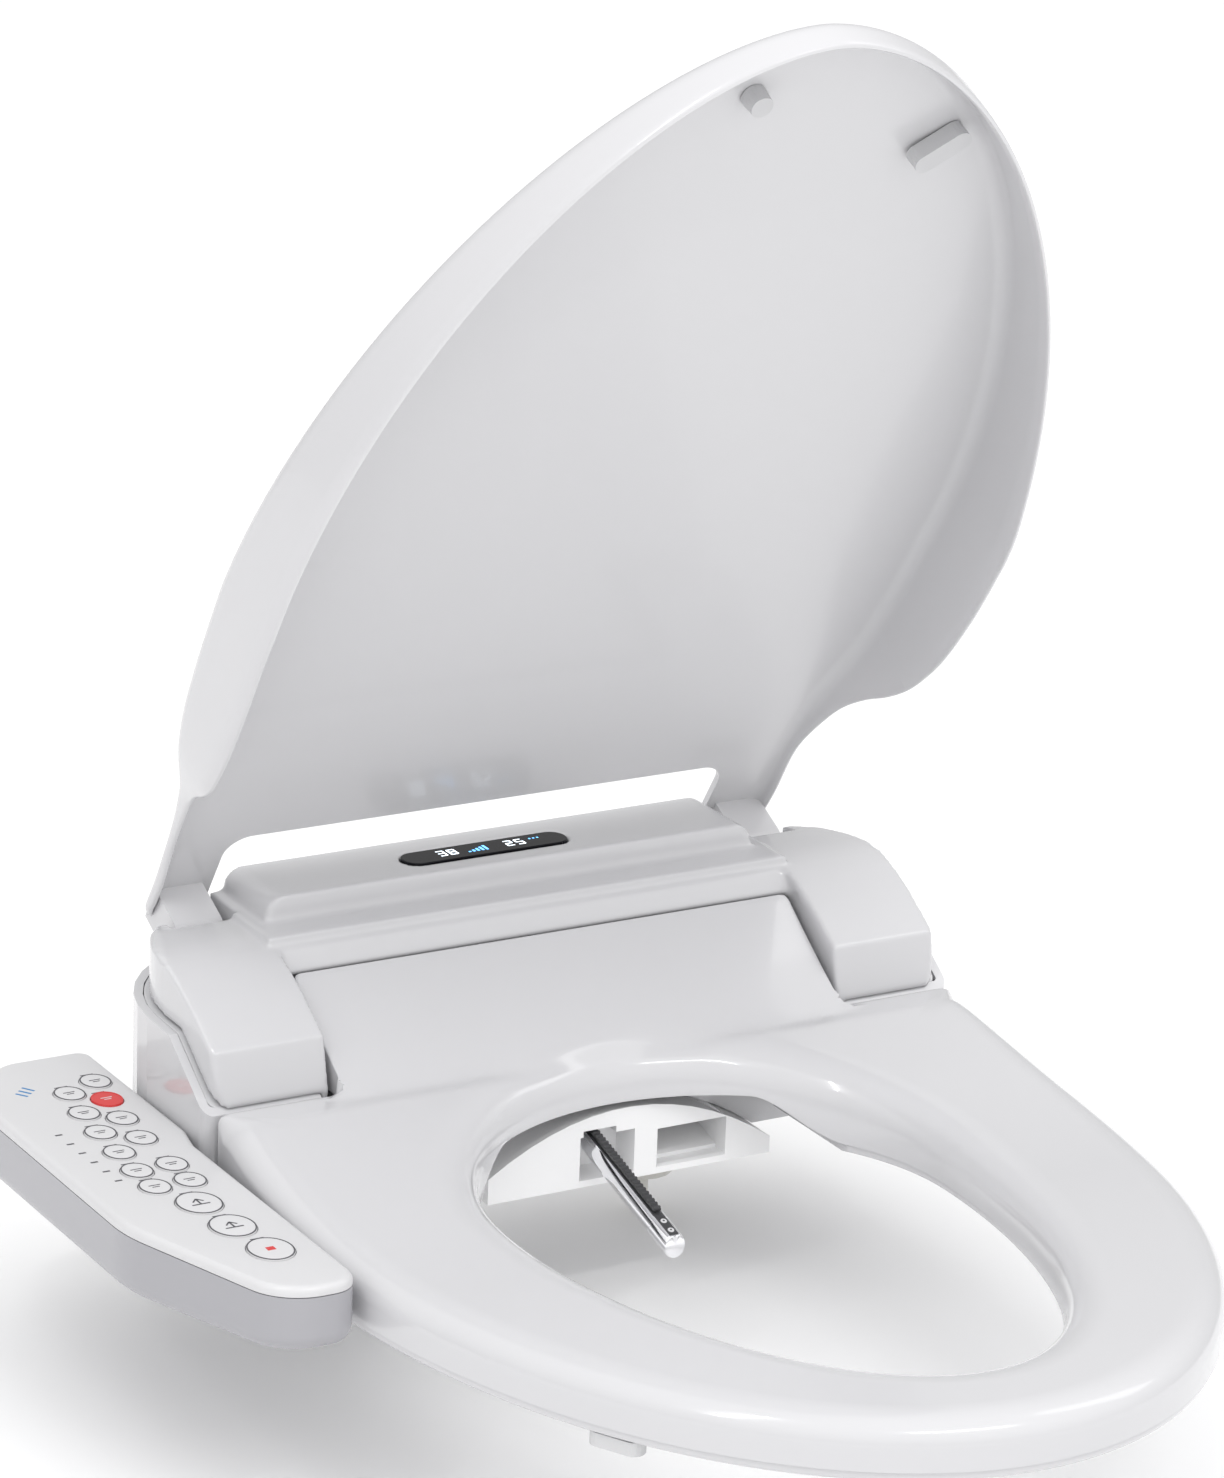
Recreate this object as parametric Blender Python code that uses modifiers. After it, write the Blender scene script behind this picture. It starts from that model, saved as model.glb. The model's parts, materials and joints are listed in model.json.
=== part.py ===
"""Electric bidet seat: housing, side control panel, spray nozzle, dryer, heated seat and lid.

Lengths are in millimetres, and each mesh is scaled to metres as it is made. +Z is up, -Y is the front
of the seat and +X is on the right of someone facing it. The origin is midway between the two fixing
bolts, on the underside of the mounting plate, so z = 0 is the top of the toilet bowl. At rest the seat
is down, the lid is partly open, the nozzle is out and no key is pressed.
"""

import math

import bmesh
import bpy
from mathutils import Matrix, Vector

MM = 0.001
GAP = 0.4  # clearance between pieces that touch or slide

# Housing
COVER_HALF = 180.0
COVER_REAR_Y = 34.0
TRAY_HALF = 186.0
TRAY_REAR_Y = 37.0
HOUSING_FRONT_Y = -84.0
CORNER_RADIUS = 64.0
TRAY_BOTTOM = 6.0
TRAY_FLOOR = 15.0
TRAY_WALL = 4.0
COVER_WALL = 3.0
BAY_HALF = 127.0
BAY_FLOOR = 46.0
BAY_REAR_Y = -28.0
WALL_TOP = (-30.0, 108.0)  # (y, z) of the top edge of the wall behind the seat
WALL_FOOT = (-38.6, 93.5)  # (y, z) of the lip that the seat's back edge meets
HUMP_TOP = 119.0
HUMP_HALF = 122.5
HUMP_LOW = 90.0
HUMP_FRONT_Y = -12.0
ABOVE = 130.0  # a height clear of the housing, where its cutters end
MIDDLE_HALF = 130.0
COVER_LOW = 43.0
OPEN_BELOW = 20.0  # how far the cover's hollow runs past its lower edge
SHOULDER = [(-83.5, 55.5), (-77.5, 80.0), (-52.0, 95.5), (-28.0, 104.5), (0.0, 105.5),
            (20.0, 102.5), (34.0, 96.0)]
PARTING_FRONT = (-83.5, 55.5)
PARTING_MIDDLE = (-48.0, 80.0)
PARTING_REAR = (40.0, 84.4)

LENS_MIDDLE = (-5.0, 7.5)
LENS_HALF = (41.0, 7.6)

# Lid and its hinge
LID_HINGE = (20.0, 95.0)
LID_OPENING = math.radians(63.5)
LID_HALF = 180.0
LID_WIDEST_Y = -190.0
LID_TIP_Y = -490.0
LID_REAR_Y = 30.0
LID_POWER = 1.8
LID_TOP_REAR = 121.0
LID_SLOPE = 0.108
LID_EDGE_Z = 45.0
# (y, z) of the skirt's free edge, just above the seat and then the housing when shut
LID_EDGE_REAR = [(-205.0, LID_EDGE_Z), (-170.0, 48.5), (-150.0, 51.5), (-130.0, 55.5), (-115.0, 59.5),
                 (-98.0, 66.0), (-88.0, 74.0), (-78.0, 85.0), (-52.0, 98.5), (-28.0, 106.8), (0.0, 108.0),
                 (18.0, 111.0), (LID_REAR_Y, 116.0)]
LID_SIDE = [(179.4, -170.0), (178.6, -150.0), (177.4, -130.0), (176.0, -115.0), (173.0, -98.0),
            (170.5, -88.0), (167.5, -78.0), (163.5, -62.0), (161.0, -52.0), (158.5, -34.0), (157.0, -6.0),
            (156.5, 18.0), (153.0, 26.0), (146.0, LID_REAR_Y)]
LID_BUMPER_HEIGHT = 8.0
LID_WALL = 3.0
SLOT_HALF = 126.0
SLOT_FRONT_Y = -18.0
ARM_X = (131.0, 153.5)
KNUCKLE_RADIUS = 11.5
LID_PIN_RADIUS = 4.0

# Seat
SEAT_HINGE = (-58.0, 70.0)
SEAT_HALF = 188.0
SEAT_WIDEST_Y = -186.0
SEAT_TIP_Y = -455.0
SEAT_POWER = 1.98
SEAT_REAR_Y = -87.0
SEAT_REAR_HALF = 182.5
TONGUE_HALF = 124.0
TONGUE_REAR_Y = -40.5
SEAT_TOP = 40.0
SEAT_SEAM = 19.3
SEAT_BOTTOM = 14.8
SEAT_WALL = 3.0
SEAT_BUMPER_LOW = 8.5
RAMP_RISE = 17.0
RAMP_START_Y = -257.0
RAMP_END_Y = -105.0
TONGUE_START_Y = -97.0
TONGUE_RISE = 36.0
TONGUE_LOW = 54.0
BRIDGE_LOW = 36.0  # under the seat's back bridge, over the nozzle bay
BRIDGE_HALF = 92.0
OPENING_HALF = 106.3
OPENING_Y = -203.0
OPENING_FRONT = 196.6
OPENING_REAR = 100.6
SEAT_PIN_RADIUS = 4.0

# Nozzle and dryer
NOZZLE_SLOPE = math.radians(15.5)
NOZZLE_TIP = (-4.0, -170.0, -5.0)
NOZZLE_RADIUS = 5.3
NOZZLE_LENGTH = 118.0
TIP_LENGTH = 16.0
GUIDE_FRONT_Y = -100.0
GUIDE_REAR_Y = -67.0
PINION_RADIUS = 4.2
PINION_TEETH = 10
RACK_PITCH = 2 * math.pi * PINION_RADIUS / PINION_TEETH
TOOTH = 0.7

# Control panel
PANEL_BOTTOM = 13.0
PANEL_SPLIT = 39.6
PANEL_TOP = 44.0
PANEL_RISE_Y = -165.0  # where the underside starts to rise towards the front end
PANEL_RISE = 2.5
PANEL_WALL = 3.0
PANEL_ROUND = 5.0
PANEL_OUTLINE = [(-187.0, 33.0, 7.0), (-187.0, -68.0, 10.0), (-190.5, -84.0, 10.0),
                 (-190.5, -238.0, 12.0), (-226.0, -238.0, 25.0), (-254.0, -150.0, 75.0),
                 (-254.0, -12.0, 34.0), (-232.0, 33.0, 18.0)]
KEY_PROUD = 0.7
KEY_BOTTOM = 38.0
SMALL_KEY = (6.8, 8.2)
LARGE_KEY = (9.6, 11.6)
SMALL_KEYS = {
    "key_power": (-203.5, -24.5), "key_light": (-199.5, -4.0), "key_auto": (-215.5, -12.5),
    "key_seat_heat": (-219.0, -35.0), "key_water_heat": (-206.8, -47.0), "key_dryer": (-221.8, -57.5),
    "key_pressure": (-208.8, -70.0), "key_position": (-223.8, -80.5), "key_massage": (-209.3, -101.0),
    "key_wide": (-225.5, -101.5), "key_clean": (-209.8, -119.5), "key_save": (-226.0, -120.0),
}
LARGE_KEYS = {"key_wash": (-217.0, -143.0), "key_bidet": (-215.0, -170.0), "key_stop": (-211.5, -197.5)}

# Fastening
BOLT_X = 77.5
BOLT_RADIUS = 4.0
BOLT_LOW = -62.0
PLATE_SIZE = (110.0, 28.0, 4.0)


def clear_scene():
    for obj in list(bpy.data.objects):
        bpy.data.objects.remove(obj, do_unlink=True)


def new_collection(name):
    collection = bpy.data.collections.new(name)
    bpy.context.scene.collection.children.link(collection)
    return collection


def material(name, colour, roughness, metallic=0.0):
    mat = bpy.data.materials.new(name)
    mat.use_nodes = True
    shader = mat.node_tree.nodes["Principled BSDF"]
    shader.inputs["Base Color"].default_value = (*colour, 1.0)
    shader.inputs["Roughness"].default_value = roughness
    shader.inputs["Metallic"].default_value = metallic
    mat.diffuse_color = (*colour, 1.0)
    return mat


def to_object(name, bm, mat, collection, smooth=True):
    """The bmesh, in millimetres, as an object in metres."""
    bmesh.ops.recalc_face_normals(bm, faces=bm.faces)
    bmesh.ops.scale(bm, vec=(MM, MM, MM), verts=bm.verts)
    mesh = bpy.data.meshes.new(name)
    bm.to_mesh(mesh)
    bm.free()
    mesh.materials.append(mat)
    if smooth:
        mesh.shade_smooth()
        mesh.set_sharp_from_angle(angle=math.radians(35))
    obj = bpy.data.objects.new(name, mesh)
    collection.objects.link(obj)
    return obj


def bevelled(obj, width, segments=2):
    modifier = obj.modifiers.new("Bevel", "BEVEL")
    modifier.width = width * MM
    modifier.segments = segments
    modifier.angle_limit = math.radians(50)
    return obj


def box(name, low, high, mat, collection, bevel=0.0):
    bm = bmesh.new()
    bmesh.ops.create_cube(bm, size=1.0)
    size = Vector(high) - Vector(low)
    middle = (Vector(high) + Vector(low)) / 2
    bmesh.ops.transform(bm, matrix=Matrix.Translation(middle) @ Matrix.Diagonal((*size, 1.0)), verts=bm.verts)
    obj = to_object(name, bm, mat, collection, smooth=False)
    return bevelled(obj, bevel) if bevel else obj


def rod(name, start, end, radius, mat, collection, end_radius=None, sides=20):
    """A cylinder or cone from start to end."""
    bm = bmesh.new()
    start, end = Vector(start), Vector(end)
    along = end - start
    bmesh.ops.create_cone(bm, cap_ends=True, segments=sides, radius1=radius,
                          radius2=radius if end_radius is None else end_radius, depth=along.length)
    turn = Vector((0, 0, 1)).rotation_difference(along).to_matrix().to_4x4()
    bmesh.ops.transform(bm, matrix=Matrix.Translation((start + end) / 2) @ turn, verts=bm.verts)
    return to_object(name, bm, mat, collection)


def prism(name, outline, low, high, mat, collection, across="z"):
    """A flat outline swept from low to high. Its points are (x, y), or (y, z) across x, or (x, z) across y."""
    place = {"x": lambda a, b, h: (h, a, b), "y": lambda a, b, h: (a, h, b),
             "z": lambda a, b, h: (a, b, h)}
    bm = bmesh.new()
    verts = [bm.verts.new(place[across](a, b, low)) for a, b in outline]
    face = bm.faces.new(verts)
    swept = bmesh.ops.extrude_face_region(bm, geom=[face])["geom"]
    shift = Vector(place[across](0, 0, high - low))
    bmesh.ops.translate(bm, vec=shift, verts=[v for v in swept if isinstance(v, bmesh.types.BMVert)])
    return to_object(name, bm, mat, collection)


def loft(name, rings, mat, collection, close_section):
    """Quads between closed rings of equal length; the section is closed on itself or capped at its ends."""
    bm = bmesh.new()
    rows = [[bm.verts.new(point) for point in ring] for ring in rings]
    pairs = list(zip(rows, rows[1:]))
    if close_section:
        pairs.append((rows[-1], rows[0]))
    for near, far in pairs:
        for i in range(len(near)):
            j = (i + 1) % len(near)
            bm.faces.new((near[i], near[j], far[j], far[i]))
    if not close_section:
        bm.faces.new(rows[0])
        bm.faces.new(rows[-1])
    return to_object(name, bm, mat, collection)


def combine(target, other, operation):
    modifier = target.modifiers.new(operation.title(), "BOOLEAN")
    modifier.operation = operation
    modifier.object = other
    other.hide_render = True
    other.display_type = "WIRE"
    return target


def fillet(corners, steps=5):
    """An outline with each corner (a, b, radius) rounded by an arc."""
    points = []
    for i, (x, y, radius) in enumerate(corners):
        here = Vector((x, y))
        back = (Vector(corners[i - 1][:2]) - here).normalized()
        ahead = (Vector(corners[(i + 1) % len(corners)][:2]) - here).normalized()
        half = back.angle(ahead) / 2
        reach = radius / math.tan(half)
        centre = here + (back + ahead).normalized() * (radius / math.sin(half))
        first = here + back * reach - centre
        sweep = first.angle_signed(here + ahead * reach - centre)
        for step in range(steps + 1):
            turned = Matrix.Rotation(-sweep * step / steps, 2) @ first
            points.append(tuple(centre + turned))
    return points


def inset(outline, distance):
    """The outline, counter-clockwise, moved inwards by distance along its corner normals."""
    moved = []
    for i, point in enumerate(outline):
        here = Vector(point)
        back = (here - Vector(outline[i - 1])).normalized()
        ahead = (Vector(outline[(i + 1) % len(outline)]) - here).normalized()
        along = back + ahead
        moved.append(tuple(here + Vector((-along.y, along.x)).normalized() * distance))
    return moved


def housing_plan(half, rear_y, front_y, shrink=0.0):
    radius = CORNER_RADIUS - shrink
    corners = [(-half + shrink, front_y + shrink, 6.0), (half - shrink, front_y + shrink, 6.0),
               (half - shrink, rear_y - shrink, radius), (-half + shrink, rear_y - shrink, radius)]
    return fillet(corners, 8)


def cover_block(name, shrink, mat, cutters):
    """The outer form of the top cover, or the same form drawn in by its wall and open below."""
    drop = OPEN_BELOW if shrink else 0.0
    rear_y = COVER_REAR_Y - shrink
    low = [(PARTING_REAR[0], PARTING_REAR[1] - drop), (PARTING_MIDDLE[0], PARTING_MIDDLE[1] - drop)]
    front = (SHOULDER[0][0] + shrink, SHOULDER[0][1] - drop)
    brow = (SHOULDER[1][0] + shrink, SHOULDER[1][1] - shrink)
    top = [(y, z - shrink) for y, z in SHOULDER[2:]]
    block = prism(name, [front, brow, *top, *low], -COVER_HALF - 20, COVER_HALF + 20, mat, cutters, across="x")
    outline = housing_plan(COVER_HALF, COVER_REAR_Y, SHOULDER[0][0], shrink)
    combine(block, prism(name + "_plan", outline, COVER_LOW - OPEN_BELOW, ABOVE, mat, cutters), "INTERSECT")
    low_z = COVER_LOW - drop
    wall_y, wall_z = WALL_TOP[0], WALL_TOP[1] - shrink
    under_brow = [(y + shrink + 1.0, z - shrink - 1.0) for y, z in SHOULDER[:3]]
    profile = [(under_brow[0][0], low_z), *under_brow, (wall_y, wall_z - 6.0), (wall_y, wall_z),
               (rear_y, wall_z), (rear_y, low_z)]
    middle = prism(name + "_middle", profile, -MIDDLE_HALF, MIDDLE_HALF, mat, cutters, across="x")
    combine(block, middle, "UNION")
    half, top_z = HUMP_HALF - shrink, HUMP_TOP - shrink
    section = fillet([(-half, HUMP_LOW, 2), (half, HUMP_LOW, 2), (half, top_z, 9), (-half, top_z, 9)])
    hump = prism(name + "_hump", section, HUMP_FRONT_Y + shrink, rear_y - 2.0, mat, cutters, across="y")
    combine(block, hump, "UNION")
    return block


def bay_cutter(name, grow, mat, cutters):
    """The space in front of the back wall, where the rear of the seat lies."""
    (top_y, top_z), (foot_y, foot_z) = WALL_TOP, WALL_FOOT
    floor, rear_y, front_y = BAY_FLOOR - grow, BAY_REAR_Y + grow, HOUSING_FRONT_Y - 11.0
    profile = [(front_y, floor), (rear_y, floor), (rear_y, foot_z - 4.0), (foot_y + grow, foot_z),
               (top_y + grow, top_z), (top_y + grow, ABOVE), (front_y, ABOVE)]
    return prism(name, profile, -BAY_HALF - grow, BAY_HALF + grow, mat, cutters, across="x")


def make_top_cover(mats, parts, cutters):
    cover = cover_block("top_cover", 0.0, mats["white"], parts)
    combine(cover, bay_cutter("cover_bay", 0.0, mats["white"], cutters), "DIFFERENCE")
    hollow = cover_block("cover_hollow", COVER_WALL, mats["white"], cutters)
    combine(hollow, bay_cutter("cover_bay_walls", COVER_WALL, mats["white"], cutters), "DIFFERENCE")
    combine(cover, hollow, "DIFFERENCE")
    for side in (-1, 1):
        combine(cover, arm_cutter("arm_recess", side, 6.5, 78.0, mats["white"], cutters), "DIFFERENCE")
        pin_bore = rod("seat_pin_bore", (side * 110, *SEAT_HINGE), (side * 140, *SEAT_HINGE),
                       SEAT_PIN_RADIUS + GAP, mats["white"], cutters)
        combine(cover, pin_bore, "DIFFERENCE")
        lug_x = sorted((side * (HUMP_HALF - 0.5), side * (ARM_X[0] - 4.1)))
        lug = box("lid_pin_lug", (lug_x[0], 10, 81), (lug_x[1], 30, 106), mats["white"], cutters)
        combine(cover, lug, "UNION")
        bore = rod("lid_pin_bore", (side * (HUMP_HALF - 7), *LID_HINGE), (side * (ARM_X[0] - 1), *LID_HINGE),
                   LID_PIN_RADIUS + GAP, mats["white"], cutters)
        combine(cover, bore, "DIFFERENCE")
    lens_hole = prism("lens_hole", lens_outline(GAP), HUMP_TOP - 19, ABOVE, mats["white"], cutters)
    combine(cover, lens_hole, "DIFFERENCE")


def arm_cutter(name, side, front_y, low_z, mat, cutters):
    """The room behind the housing's shoulder in which an arm of the lid turns."""
    low_x, high_x = sorted((side * (ARM_X[0] - 3.5), side * (ARM_X[1] + 3.5)))
    return box(name, (low_x, front_y, low_z), (high_x, 50, ABOVE), mat, cutters)


def make_base_tray(mats, parts, cutters):
    plan = housing_plan(TRAY_HALF, TRAY_REAR_Y, HOUSING_FRONT_Y)
    tray = prism("base_tray", plan, TRAY_BOTTOM, 100, mats["white"], parts)
    inner = inset(plan, TRAY_WALL)
    combine(tray, prism("tray_hollow", inner, TRAY_FLOOR, 120, mats["white"], cutters), "DIFFERENCE")
    above = [(-95, PARTING_FRONT[1] - 1.0), (PARTING_FRONT[0], PARTING_FRONT[1] - 1.0),
             (PARTING_MIDDLE[0], PARTING_MIDDLE[1] - 0.8), (50, PARTING_REAR[1] - 0.3),
             (50, ABOVE), (-95, ABOVE)]
    combine(tray, prism("tray_above", above, -220, 220, mats["white"], cutters, across="x"), "DIFFERENCE")
    middle = box("tray_middle", (-MIDDLE_HALF - 1, -90, COVER_LOW - 0.5), (MIDDLE_HALF + 1, 50, ABOVE),
                 mats["white"], cutters)
    combine(tray, middle, "DIFFERENCE")
    for side in (-1, 1):
        combine(tray, arm_cutter("arm_clearance", side, 16.0, 76.0, mats["white"], cutters), "DIFFERENCE")
    length, depth, height = PLATE_SIZE
    pocket = box("plate_pocket", (-length - 3, -depth - 3, 0), (length + 3, TRAY_REAR_Y + 3, height + 7),
                 mats["white"], cutters)
    combine(tray, pocket, "DIFFERENCE")
    guide = guide_block("guide_opening", GAP, -110, GUIDE_REAR_Y + GAP, mats["white"], cutters)
    combine(tray, guide, "DIFFERENCE")
    for name, start, end, radius in tray_bores():
        combine(tray, rod(name, start, end, radius + GAP, mats["white"], cutters), "DIFFERENCE")


def tray_bores():
    """Holes through the tray's walls: (name, start, end, radius of what passes through)."""
    rear, inside = TRAY_REAR_Y + 5, TRAY_REAR_Y - 12
    return [("inlet_bore", (100, inside, 28), (100, rear, 28), 8.0),
            ("gland_bore", (-100, inside, 28), (-100, rear, 28), 6.0),
            ("drain_bore", (60, inside, 26), (60, rear, 26), 6.0),
            ("release_bore", (TRAY_HALF - 12, -30, 34), (TRAY_HALF + 5, -30, 34), 7.0)]


def lens_outline(grow=0.0):
    """The display's long oval window in the top of the hump."""
    (x, y), half_x, half_y = LENS_MIDDLE, LENS_HALF[0] + grow, LENS_HALF[1] + grow
    corners = [(x - half_x, y - half_y), (x + half_x, y - half_y), (x + half_x, y + half_y),
               (x - half_x, y + half_y)]
    return fillet([(*corner, half_y - 0.6) for corner in corners])


def guide_outline(grow):
    """(x, z) outline of the nozzle bay's face: flat below, arched above."""
    low, left, right, crown, bend = -2.0 - grow, -58.0 - grow, 84.0 + grow, 32.0 + grow, 0.0048
    arch = [right - (right - left) * i / 14 for i in range(15)]
    return [(left, low), (right, low), *[(x, crown - bend * (x - 10.0) ** 2) for x in arch]]


def guide_block(name, grow, front_y, rear_y, mat, collection):
    return prism(name, guide_outline(grow), front_y, rear_y, mat, collection, across="y")


def nozzle_direction():
    return Vector((0, -math.cos(NOZZLE_SLOPE), -math.sin(NOZZLE_SLOPE)))


def along_nozzle(back, lift=0.0, sideways=0.0):
    """A point that far behind the nozzle's tip, and that far above and beside its axis."""
    along = nozzle_direction()
    above = Vector((0, along.z, -along.y))
    return Vector(NOZZLE_TIP) - along * back + above * lift + Vector((sideways, 0, 0))


def tilted_box(name, back, lift, side, mat, collection):
    """A box in the nozzle's own directions; each argument is its (low, high) along that direction."""
    bm = bmesh.new()
    bmesh.ops.create_cube(bm, size=1.0)
    for vert in bm.verts:
        vert.co = along_nozzle(back[vert.co.y > 0], lift[vert.co.z > 0], side[vert.co.x > 0])
    return to_object(name, bm, mat, collection, smooth=False)


def make_nozzle_guide(mats, parts, cutters):
    guide = guide_block("nozzle_guide", 0.0, GUIDE_FRONT_Y, GUIDE_REAR_Y, mats["white"], parts)
    reach = (60.0, 130.0)
    channel = tilted_box("nozzle_channel", reach, (-6.6, 9.4), (-7.4, 9.0), mats["dark"], cutters)
    window = box("nozzle_window", (-12.8, -105, 1.0), (14.5, -84, 21.3), mats["dark"], cutters)
    duct = tilted_box("dryer_channel", reach, (-13.0, 4.5), (30.0, 65.0), mats["dark"], cutters)
    mouth = box("dryer_window", (26.0, -105, 1.5), (61.0, -92, 19.0), mats["dark"], cutters)
    for cutter in (channel, window, duct, mouth):
        combine(guide, cutter, "DIFFERENCE")


def make_nozzle(mats, parts, cutters):
    rod("nozzle_tube", along_nozzle(TIP_LENGTH + 0.3), along_nozzle(NOZZLE_LENGTH), NOZZLE_RADIUS,
        mats["chrome"], parts, sides=28)
    tip = rod("nozzle_tip", along_nozzle(0), along_nozzle(TIP_LENGTH), NOZZLE_RADIUS - 0.6,
              mats["chrome"], parts, end_radius=NOZZLE_RADIUS, sides=28)
    for back in (4.5, 10.5):
        start, end = along_nozzle(back, 1.5), along_nozzle(back, 10)
        combine(tip, rod("spray_hole", start, end, 1.3, mats["dark"], cutters, sides=12), "DIFFERENCE")
    make_rack(mats, parts)


def make_rack(mats, parts):
    """A toothed strip along the top of the tube."""
    low, root = NOZZLE_RADIUS + 0.3, NOZZLE_RADIUS + 1.2
    teeth = int((NOZZLE_LENGTH - TIP_LENGTH - 10) / RACK_PITCH)
    first = TIP_LENGTH + 4.0
    outline = [(first, low), (first, root)]
    for tooth in range(teeth):
        start = first + tooth * RACK_PITCH
        outline += [(start + RACK_PITCH * share, root + TOOTH * up) for share, up in
                    ((0.15, 0), (0.35, 1), (0.65, 1), (0.85, 0))]
    end = first + teeth * RACK_PITCH
    outline += [(end, root), (end, low)]
    bm = bmesh.new()
    sides = [[bm.verts.new(along_nozzle(back, lift, side)) for back, lift in outline] for side in (-1.8, 1.8)]
    bm.faces.new(sides[0])
    bm.faces.new(sides[1])
    for i in range(len(outline)):
        j = (i + 1) % len(outline)
        bm.faces.new((sides[0][i], sides[0][j], sides[1][j], sides[1][i]))
    to_object("nozzle_rack", bm, mats["dark"], parts, smooth=False)


def pinion_centre():
    return along_nozzle(NOZZLE_LENGTH - 5.0, NOZZLE_RADIUS + 1.4 + 2 * TOOTH + PINION_RADIUS)


def make_pinion(mats, parts):
    centre = pinion_centre()
    outline = []
    for tooth in range(PINION_TEETH):
        for share, radius in ((0.1, -TOOTH), (0.35, TOOTH * 0.8), (0.65, TOOTH * 0.8), (0.9, -TOOTH)):
            angle = 2 * math.pi * (tooth + share) / PINION_TEETH
            reach = PINION_RADIUS + radius
            outline.append((centre.y + reach * math.cos(angle), centre.z + reach * math.sin(angle)))
    prism("nozzle_pinion", outline, centre.x - 2.5, centre.x + 2.5, mats["nylon"], parts, across="x")


def make_nozzle_motor(mats, parts, cutters):
    centre, across = pinion_centre(), Vector((1, 0, 0))
    motor = rod("nozzle_motor", centre + across * 5.5, centre + across * 29, 5.2, mats["steel"], parts)
    shaft = rod("motor_shaft", centre + across * 3, centre + across * 8, 1.5, mats["steel"], cutters, sides=12)
    combine(motor, shaft, "UNION")


def opening_radius(angle, grow=0.0):
    """Distance from the opening's centre to its edge, a superellipse longer to the front."""
    depth = (OPENING_REAR if math.sin(angle) > 0 else OPENING_FRONT) + grow
    across = abs(math.cos(angle)) / (OPENING_HALF + grow)
    return 1.0 / math.hypot(across, abs(math.sin(angle)) / depth)


def seat_front_half(shrink, steps):
    """Outline of the front half from the right side round the tip to the left side."""
    points = []
    for i in range(steps + 1):
        angle = math.pi * i / steps
        x = abs(math.cos(angle)) ** (2 / SEAT_POWER) * math.copysign(1, math.cos(angle))
        y = math.sin(angle) ** (2 / SEAT_POWER)
        points.append((x * (SEAT_HALF - shrink), SEAT_WIDEST_Y - y * (SEAT_WIDEST_Y - SEAT_TIP_Y - shrink)))
    return points


def seat_side(shrink, steps):
    """The left side from its widest point back to the shoulder."""
    points = []
    for i in range(1, steps + 1):
        share = i / steps
        x = SEAT_HALF - (SEAT_HALF - SEAT_REAR_HALF) * share ** 2.6 - shrink
        points.append((-x, SEAT_WIDEST_Y + (SEAT_REAR_Y - shrink - SEAT_WIDEST_Y) * share))
    return points


def seat_outline(shrink=0.0, with_tongue=True):
    """The seat's outline, clockwise seen from above, from the right side round the front."""
    left = seat_side(shrink, 6)
    if with_tongue:
        left += [(-154.0, SEAT_REAR_Y - shrink), (-TONGUE_HALF - 3, SEAT_REAR_Y - shrink),
                 (-TONGUE_HALF + shrink, SEAT_REAR_Y + 4)]
        length = TONGUE_REAR_Y - SEAT_REAR_Y - 9
        left += [(-TONGUE_HALF + shrink, SEAT_REAR_Y + 4 + length * i / 4) for i in range(1, 5)]
        left += [(-TONGUE_HALF + 4 + shrink, TONGUE_REAR_Y - shrink)]
        left += [(-TONGUE_HALF + (TONGUE_HALF - 4) * i / 7, TONGUE_REAR_Y - shrink) for i in range(1, 7)]
    else:
        left += [(-150.0 + 30.0 * i, SEAT_REAR_Y - shrink) for i in range(5)]
    right = [(-x, y) for x, y in reversed(left)]
    return seat_front_half(shrink, 32) + left + [(0.0, left[-1][1])] + right


def seat_height(x, y):
    """Height of the seat's upper surface: flat in front, rising to the shoulders and up the tongue."""
    ramp = max(0.0, min(1.0, (y - RAMP_START_Y) / (RAMP_END_Y - RAMP_START_Y)))
    tongue = max(0.0, min(1.0, (y - TONGUE_START_Y) / (TONGUE_REAR_Y - 1.0 - TONGUE_START_Y)))
    if abs(x) > TONGUE_HALF + 1:
        tongue = 0.0
    return SEAT_TOP + RAMP_RISE * ramp ** 2 + TONGUE_RISE * tongue ** 1.35


def seat_ray(point):
    """(outer point, edge of the opening, unit direction inwards, length between them)."""
    centre = Vector((0.0, OPENING_Y))
    outer = Vector(point)
    ray = outer - centre
    angle = math.atan2(ray.y, ray.x)
    inner = centre + ray.normalized() * opening_radius(angle)
    return outer, inner, -ray.normalized(), (outer - inner).length


def seat_section(point):
    """Cross-section of the seat's upper shell at an outline point, out and up, over, and back inside."""
    outer, inner, inwards, width = seat_ray(point)
    in_tongue = abs(outer.x) < TONGUE_HALF + 4 and outer.y > SEAT_REAR_Y - 1
    low = TONGUE_LOW if in_tongue else SEAT_SEAM
    inner_low = BRIDGE_LOW if inner.y > OPENING_Y and abs(inner.x) < BRIDGE_HALF else SEAT_SEAM
    wall = SEAT_WALL * (1.4 if in_tongue else 1.0)
    section = []
    edge = ((0.0, 3.0), (1.5, 0.8)) if in_tongue else ((0.0, 10.0), (3.0, 3.0))
    for reach, drop in ((0.0, None), *edge, (9.0, 0.3), (width * 0.5, 0.6), (width - 9.0, 3.2),
                        (width - 2.6, 6.0), (width, 12.0), (width, None)):
        place = outer + inwards * reach
        top = seat_height(place.x, place.y) - (0.0 if drop is None else drop)
        bottom = low if reach < width / 2 else inner_low
        section.append((place.x, place.y, bottom if drop is None else max(top, bottom + 1.0)))
    under = SEAT_WALL + 0.4
    for reach, drop in ((width - wall, None), (width - wall, 13.0), (width - 9.5, 3.2 + under),
                        (width * 0.5, under + 0.6), (9.5, under + 0.4), (wall, 11.0), (wall, None)):
        place = outer + inwards * reach
        top = seat_height(place.x, place.y) - (0.0 if drop is None else drop)
        bottom = low if reach < width / 2 else inner_low
        section.append((place.x, place.y, bottom if drop is None else max(top, bottom + 0.5)))
    return section


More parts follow.
